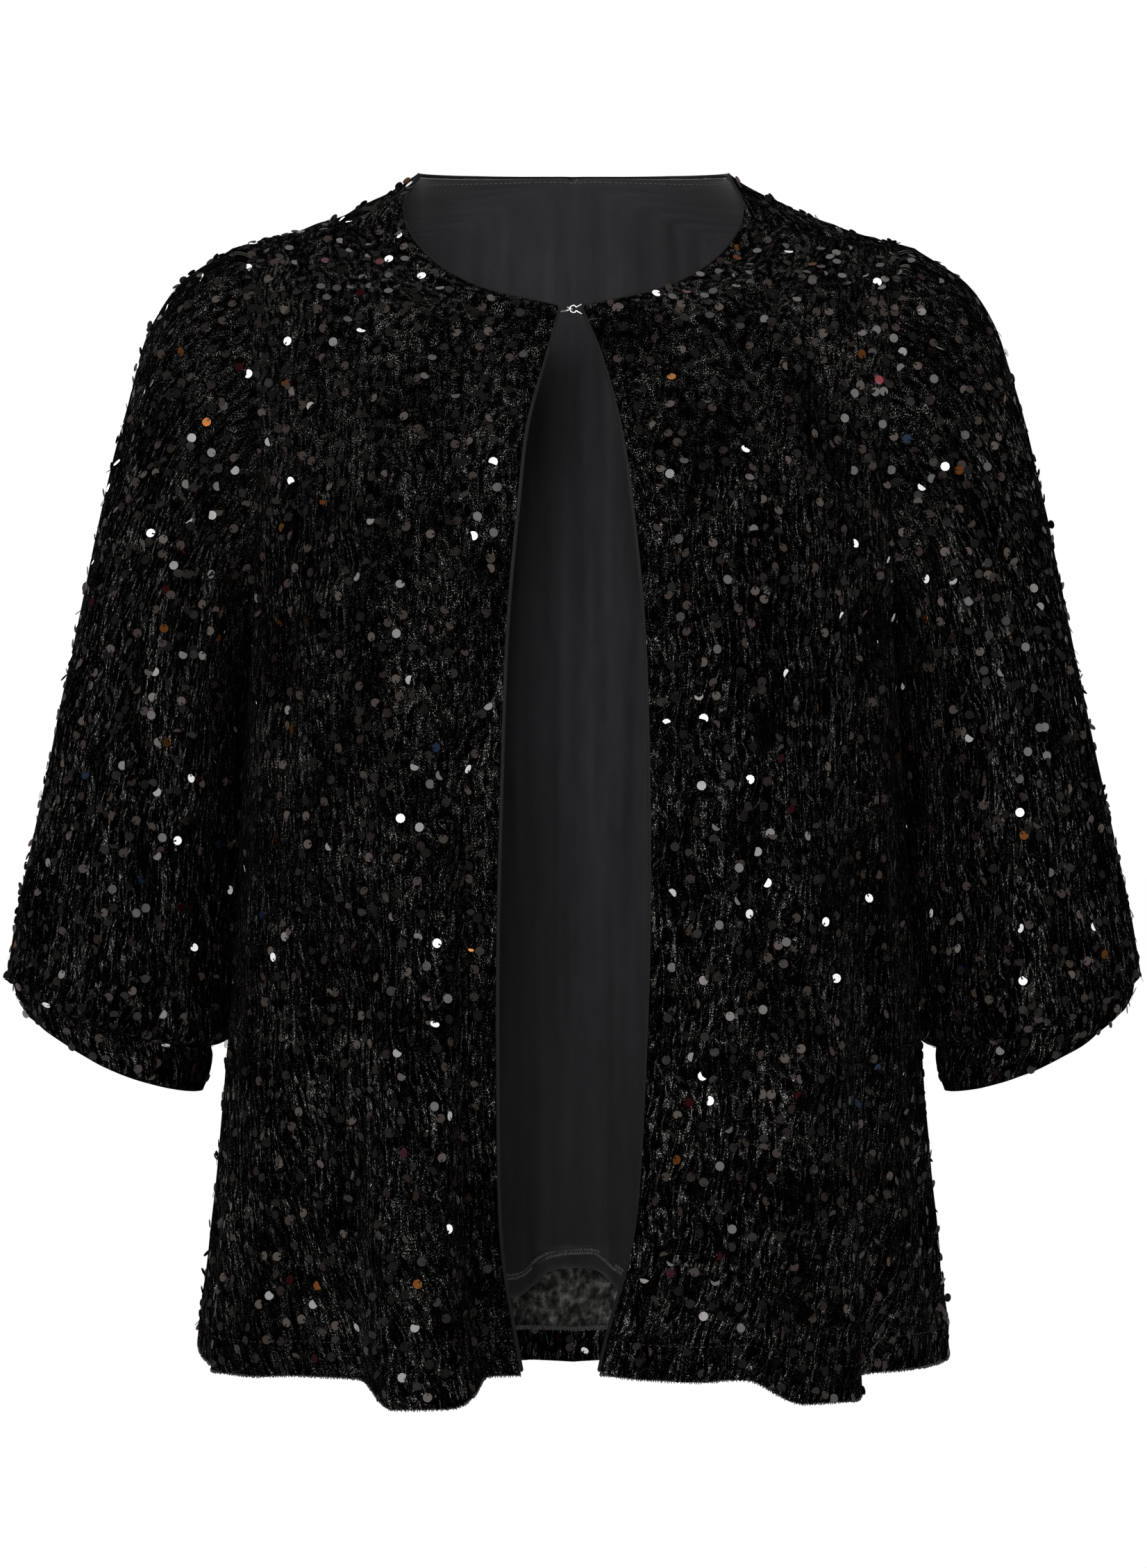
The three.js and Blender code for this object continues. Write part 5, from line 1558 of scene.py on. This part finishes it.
def thread_material(name, dark, light):
    """Spun thread: a fine mottle from dark to light, and a little gloss."""
    material, tree, shader = new_material(name, 0.6, Specular_IOR_Level=0.3)
    fibre = add_node(tree, "ShaderNodeTexNoise", {"Scale": 1400.0, "Detail": 2.0}).outputs["Fac"]
    mottle = mix_colours(tree, between(tree, fibre, 0.35, 0.65), dark, light)
    tree.links.new(mottle, shader.inputs["Base Color"])
    return material


LINING_THREAD = thread_material("lining_thread", (0.018, 0.018, 0.019), (0.12, 0.12, 0.125))
VELVET_THREAD = thread_material("velvet_thread", (0.006, 0.006, 0.006), (0.05, 0.048, 0.046))

# %% Sewing the seams
COVER_STITCH_UP, NECK_STITCH_DOWN = 16.5, 5
lining_inside = inner_faces(lining_sides, LINING_WALL)
rope = joined(*(above_hem(half, COVER_STITCH_UP) for half in lining_inside))
stitch_row("cover_stitch", rope, (2.9, 1.0, 1.0), 1.6, LINING_THREAD, 0.8, 0.12, (-1.1, 1.1))

neck_lines = []
for half in lining_inside:
    at_neck = half["row"][:, 0] >= NECK_BACK_ROW - NEAR
    beside = np.abs(half["uv"][at_neck, :, 0] - half["uv"][at_neck, :1, 0]) / MM
    points, normals = (half[key][at_neck].swapaxes(0, 1) for key in ("points", "normals"))
    neck_lines.append(line_at(beside.T, points, normals, NECK_STITCH_DOWN))
middle = lining_inside[0]
nape_row = int(np.argmax(middle["row"][:, 0] >= NECK_BACK_ROW - NEAR))
to_nape = (middle["uv"][nape_row, 0, 1] - middle["uv"][:nape_row + 1, :1, 1]) / MM
points, normals = (middle[key][nape_row::-1, :1] for key in ("points", "normals"))
low_point = line_at(to_nape[::-1], points, normals, NECK_STITCH_DOWN)
right, left = neck_lines
neck_line = [np.concatenate([r[::-1], m, l]) for r, m, l in zip(right, low_point, left)]
stitch_row("neck_stitches", neck_line, (1.9, 0.5, 0.45), 2.9, LINING_THREAD)

upper_edge = joined(*([half["points"][-1], half["normals"][-1]] for half in hem_inside))
overlock = stitch_row(
    "overlock", upper_edge, (3.6, 0.75, 0.9), 0.95, LINING_THREAD, np.pi / 2, 0.22
)

hem_lines = {"back": joined(*(above_hem(half, HEM_TURN_UP) for half in halves))}
for name in ("front_right", "front_left"):
    hem_lines[name] = above_hem(panels[name], HEM_TURN_UP)
for name, line in hem_lines.items():
    stitch_row(f"hem_stitches_{name}", line, (1.7, 0.45, 0.4), 3.6, VELVET_THREAD, 0.0, 0.25)

# %% Loose pile along the hem
folds_of = {"back": joined(*([half["points"][0], half["normals"][0]] for half in halves))}
for name in ("front_right", "front_left"):
    folds_of[name] = [panels[name]["points"][0], panels[name]["normals"][0]]
for name, line in folds_of.items():
    stitch_row(f"pile_stitch_{name}", line, (2.2, 0.55, 0.8), 1.2, VELVET_THREAD, np.pi / 2, 0.9)
stitches = [o for o in bpy.data.objects if "stitch" in o.name or o is overlock]
print("stitches:", {o.name: triangles(o) for o in stitches})

# %% [markdown]
# ## Hook and eye
#
# A small wire hook and eye close the neck. Each is one bent wire, a circle carried along a smooth line
# through a few points, finer than its solid and in the same place. The hook stays fastened: it passes
# through the eye.

# %% Bent wire
WIRE_RADIUS = 0.42
EYE_RADIUS, EYE_OPENING, EYE_LEGS_X, EYE_LEGS_SPREAD = 1.9, 0.62, 4.4, 2.6
HOOK_LEGS_X, FASTENER_Z, FASTENER_Y = -7, -86, -92.9
WIRE_SIDES, WIRE_STEPS, WIRE_END = 12, 90, 0.45
BESIDE_VIEW = (0.12, 0.98, 0.16)


def smooth_line(points, steps):
    """A curve through points: cubics whose slope at a point is half the way between its two neighbours."""
    points = np.array(points, float)
    slope = np.gradient(points, axis=0)
    t = np.linspace(0, len(points) - 1, steps)
    i = np.minimum(t.astype(int), len(points) - 2)
    return hermite(points[i], points[i + 1], slope[i], slope[i + 1], (t - i)[:, None])


def wire_piece(name, points, node):
    """A round wire along a smooth line, with rounded ends. Its frame is built on the direction of view,
    which no stretch of these wires follows for long."""
    line = smooth_line(points, WIRE_STEPS)
    direction = along_path(line)
    side = unit(np.cross(direction, BESIDE_VIEW))
    up = np.cross(direction, side)
    piece = tube(name, rings_along(line, WIRE_RADIUS * side, WIRE_RADIUS * up, WIRE_SIDES, WIRE_END), STEEL)
    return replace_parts(piece, node)


STEEL, tree, shader = new_material("bright_wire", 0.22, Metallic=1.0)
grain = add_node(tree, "ShaderNodeTexNoise", {"Scale": 700.0, "Detail": 2.0}).outputs["Fac"]
tree.links.new(mix_colours(tree, grain, (0.62, 0.62, 0.63), (0.86, 0.86, 0.87)), shader.inputs["Base Color"])
rough = math_node(tree, "ADD", math_node(tree, "MULTIPLY", grain, 0.2), 0.12)
tree.links.new(rough, shader.inputs["Roughness"])

angle = np.linspace(EYE_OPENING, 2 * np.pi - EYE_OPENING, 11)
loop = point(EYE_RADIUS * np.cos(angle), FASTENER_Y, FASTENER_Z + EYE_RADIUS * np.sin(angle)).tolist()
legs = [[EYE_LEGS_X, FASTENER_Y, FASTENER_Z + s * EYE_LEGS_SPREAD] for s in (1, -1)]
eye = wire_piece("eye_wire", [legs[0], *loop, legs[1]], "eye")

clear = 2 * WIRE_RADIUS + SEAM_GAP
bend = -EYE_RADIUS + clear + 0.2
before, behind = FASTENER_Y - clear, FASTENER_Y + clear
hook_points = [
    [HOOK_LEGS_X, FASTENER_Y + 0.6, FASTENER_Z - 1.4], [-EYE_RADIUS - 1.6, before, FASTENER_Z - 1],
    [-EYE_RADIUS, before, FASTENER_Z - 0.5], [bend, FASTENER_Y, FASTENER_Z],
    [-EYE_RADIUS, behind, FASTENER_Z + 0.5], [-EYE_RADIUS - 1.6, behind, FASTENER_Z + 1],
]
hook = wire_piece("hook_wire", hook_points, "hook")
print("fastener:", triangles(eye) + triangles(hook), "triangles")

# %% [markdown]
# ## Measuring the cut
#
# Each sheet of cloth is measured for the size it was cut to. The areas are measured on the shells, which
# are nearly flat cloth bent but not stretched, and the widths and lengths are those of the pattern pieces.


def outer_area(*grids):
    """The area of grids in square metres: the sum of the areas of their cells."""
    return float(cell_areas(np.concatenate([cells_of(grid["points"]) for grid in grids]) * MM).sum())


def widest_row(*grids):
    """The longest row of a piece in metres: the summed steps along each row, both halves together."""
    return sum(float(length_of(np.diff(grid["points"], axis=1)).sum(1).max()) for grid in grids) * MM


cut_grids = {name: [grid] for name, grid in panels.items() if not name.startswith("back")}
cut_grids |= {"back": halves, "hem_back": hem_sides, "lining_back": lining_sides}
for name, grids in cut_grids.items():
    width, area = widest_row(*grids), outer_area(*grids)
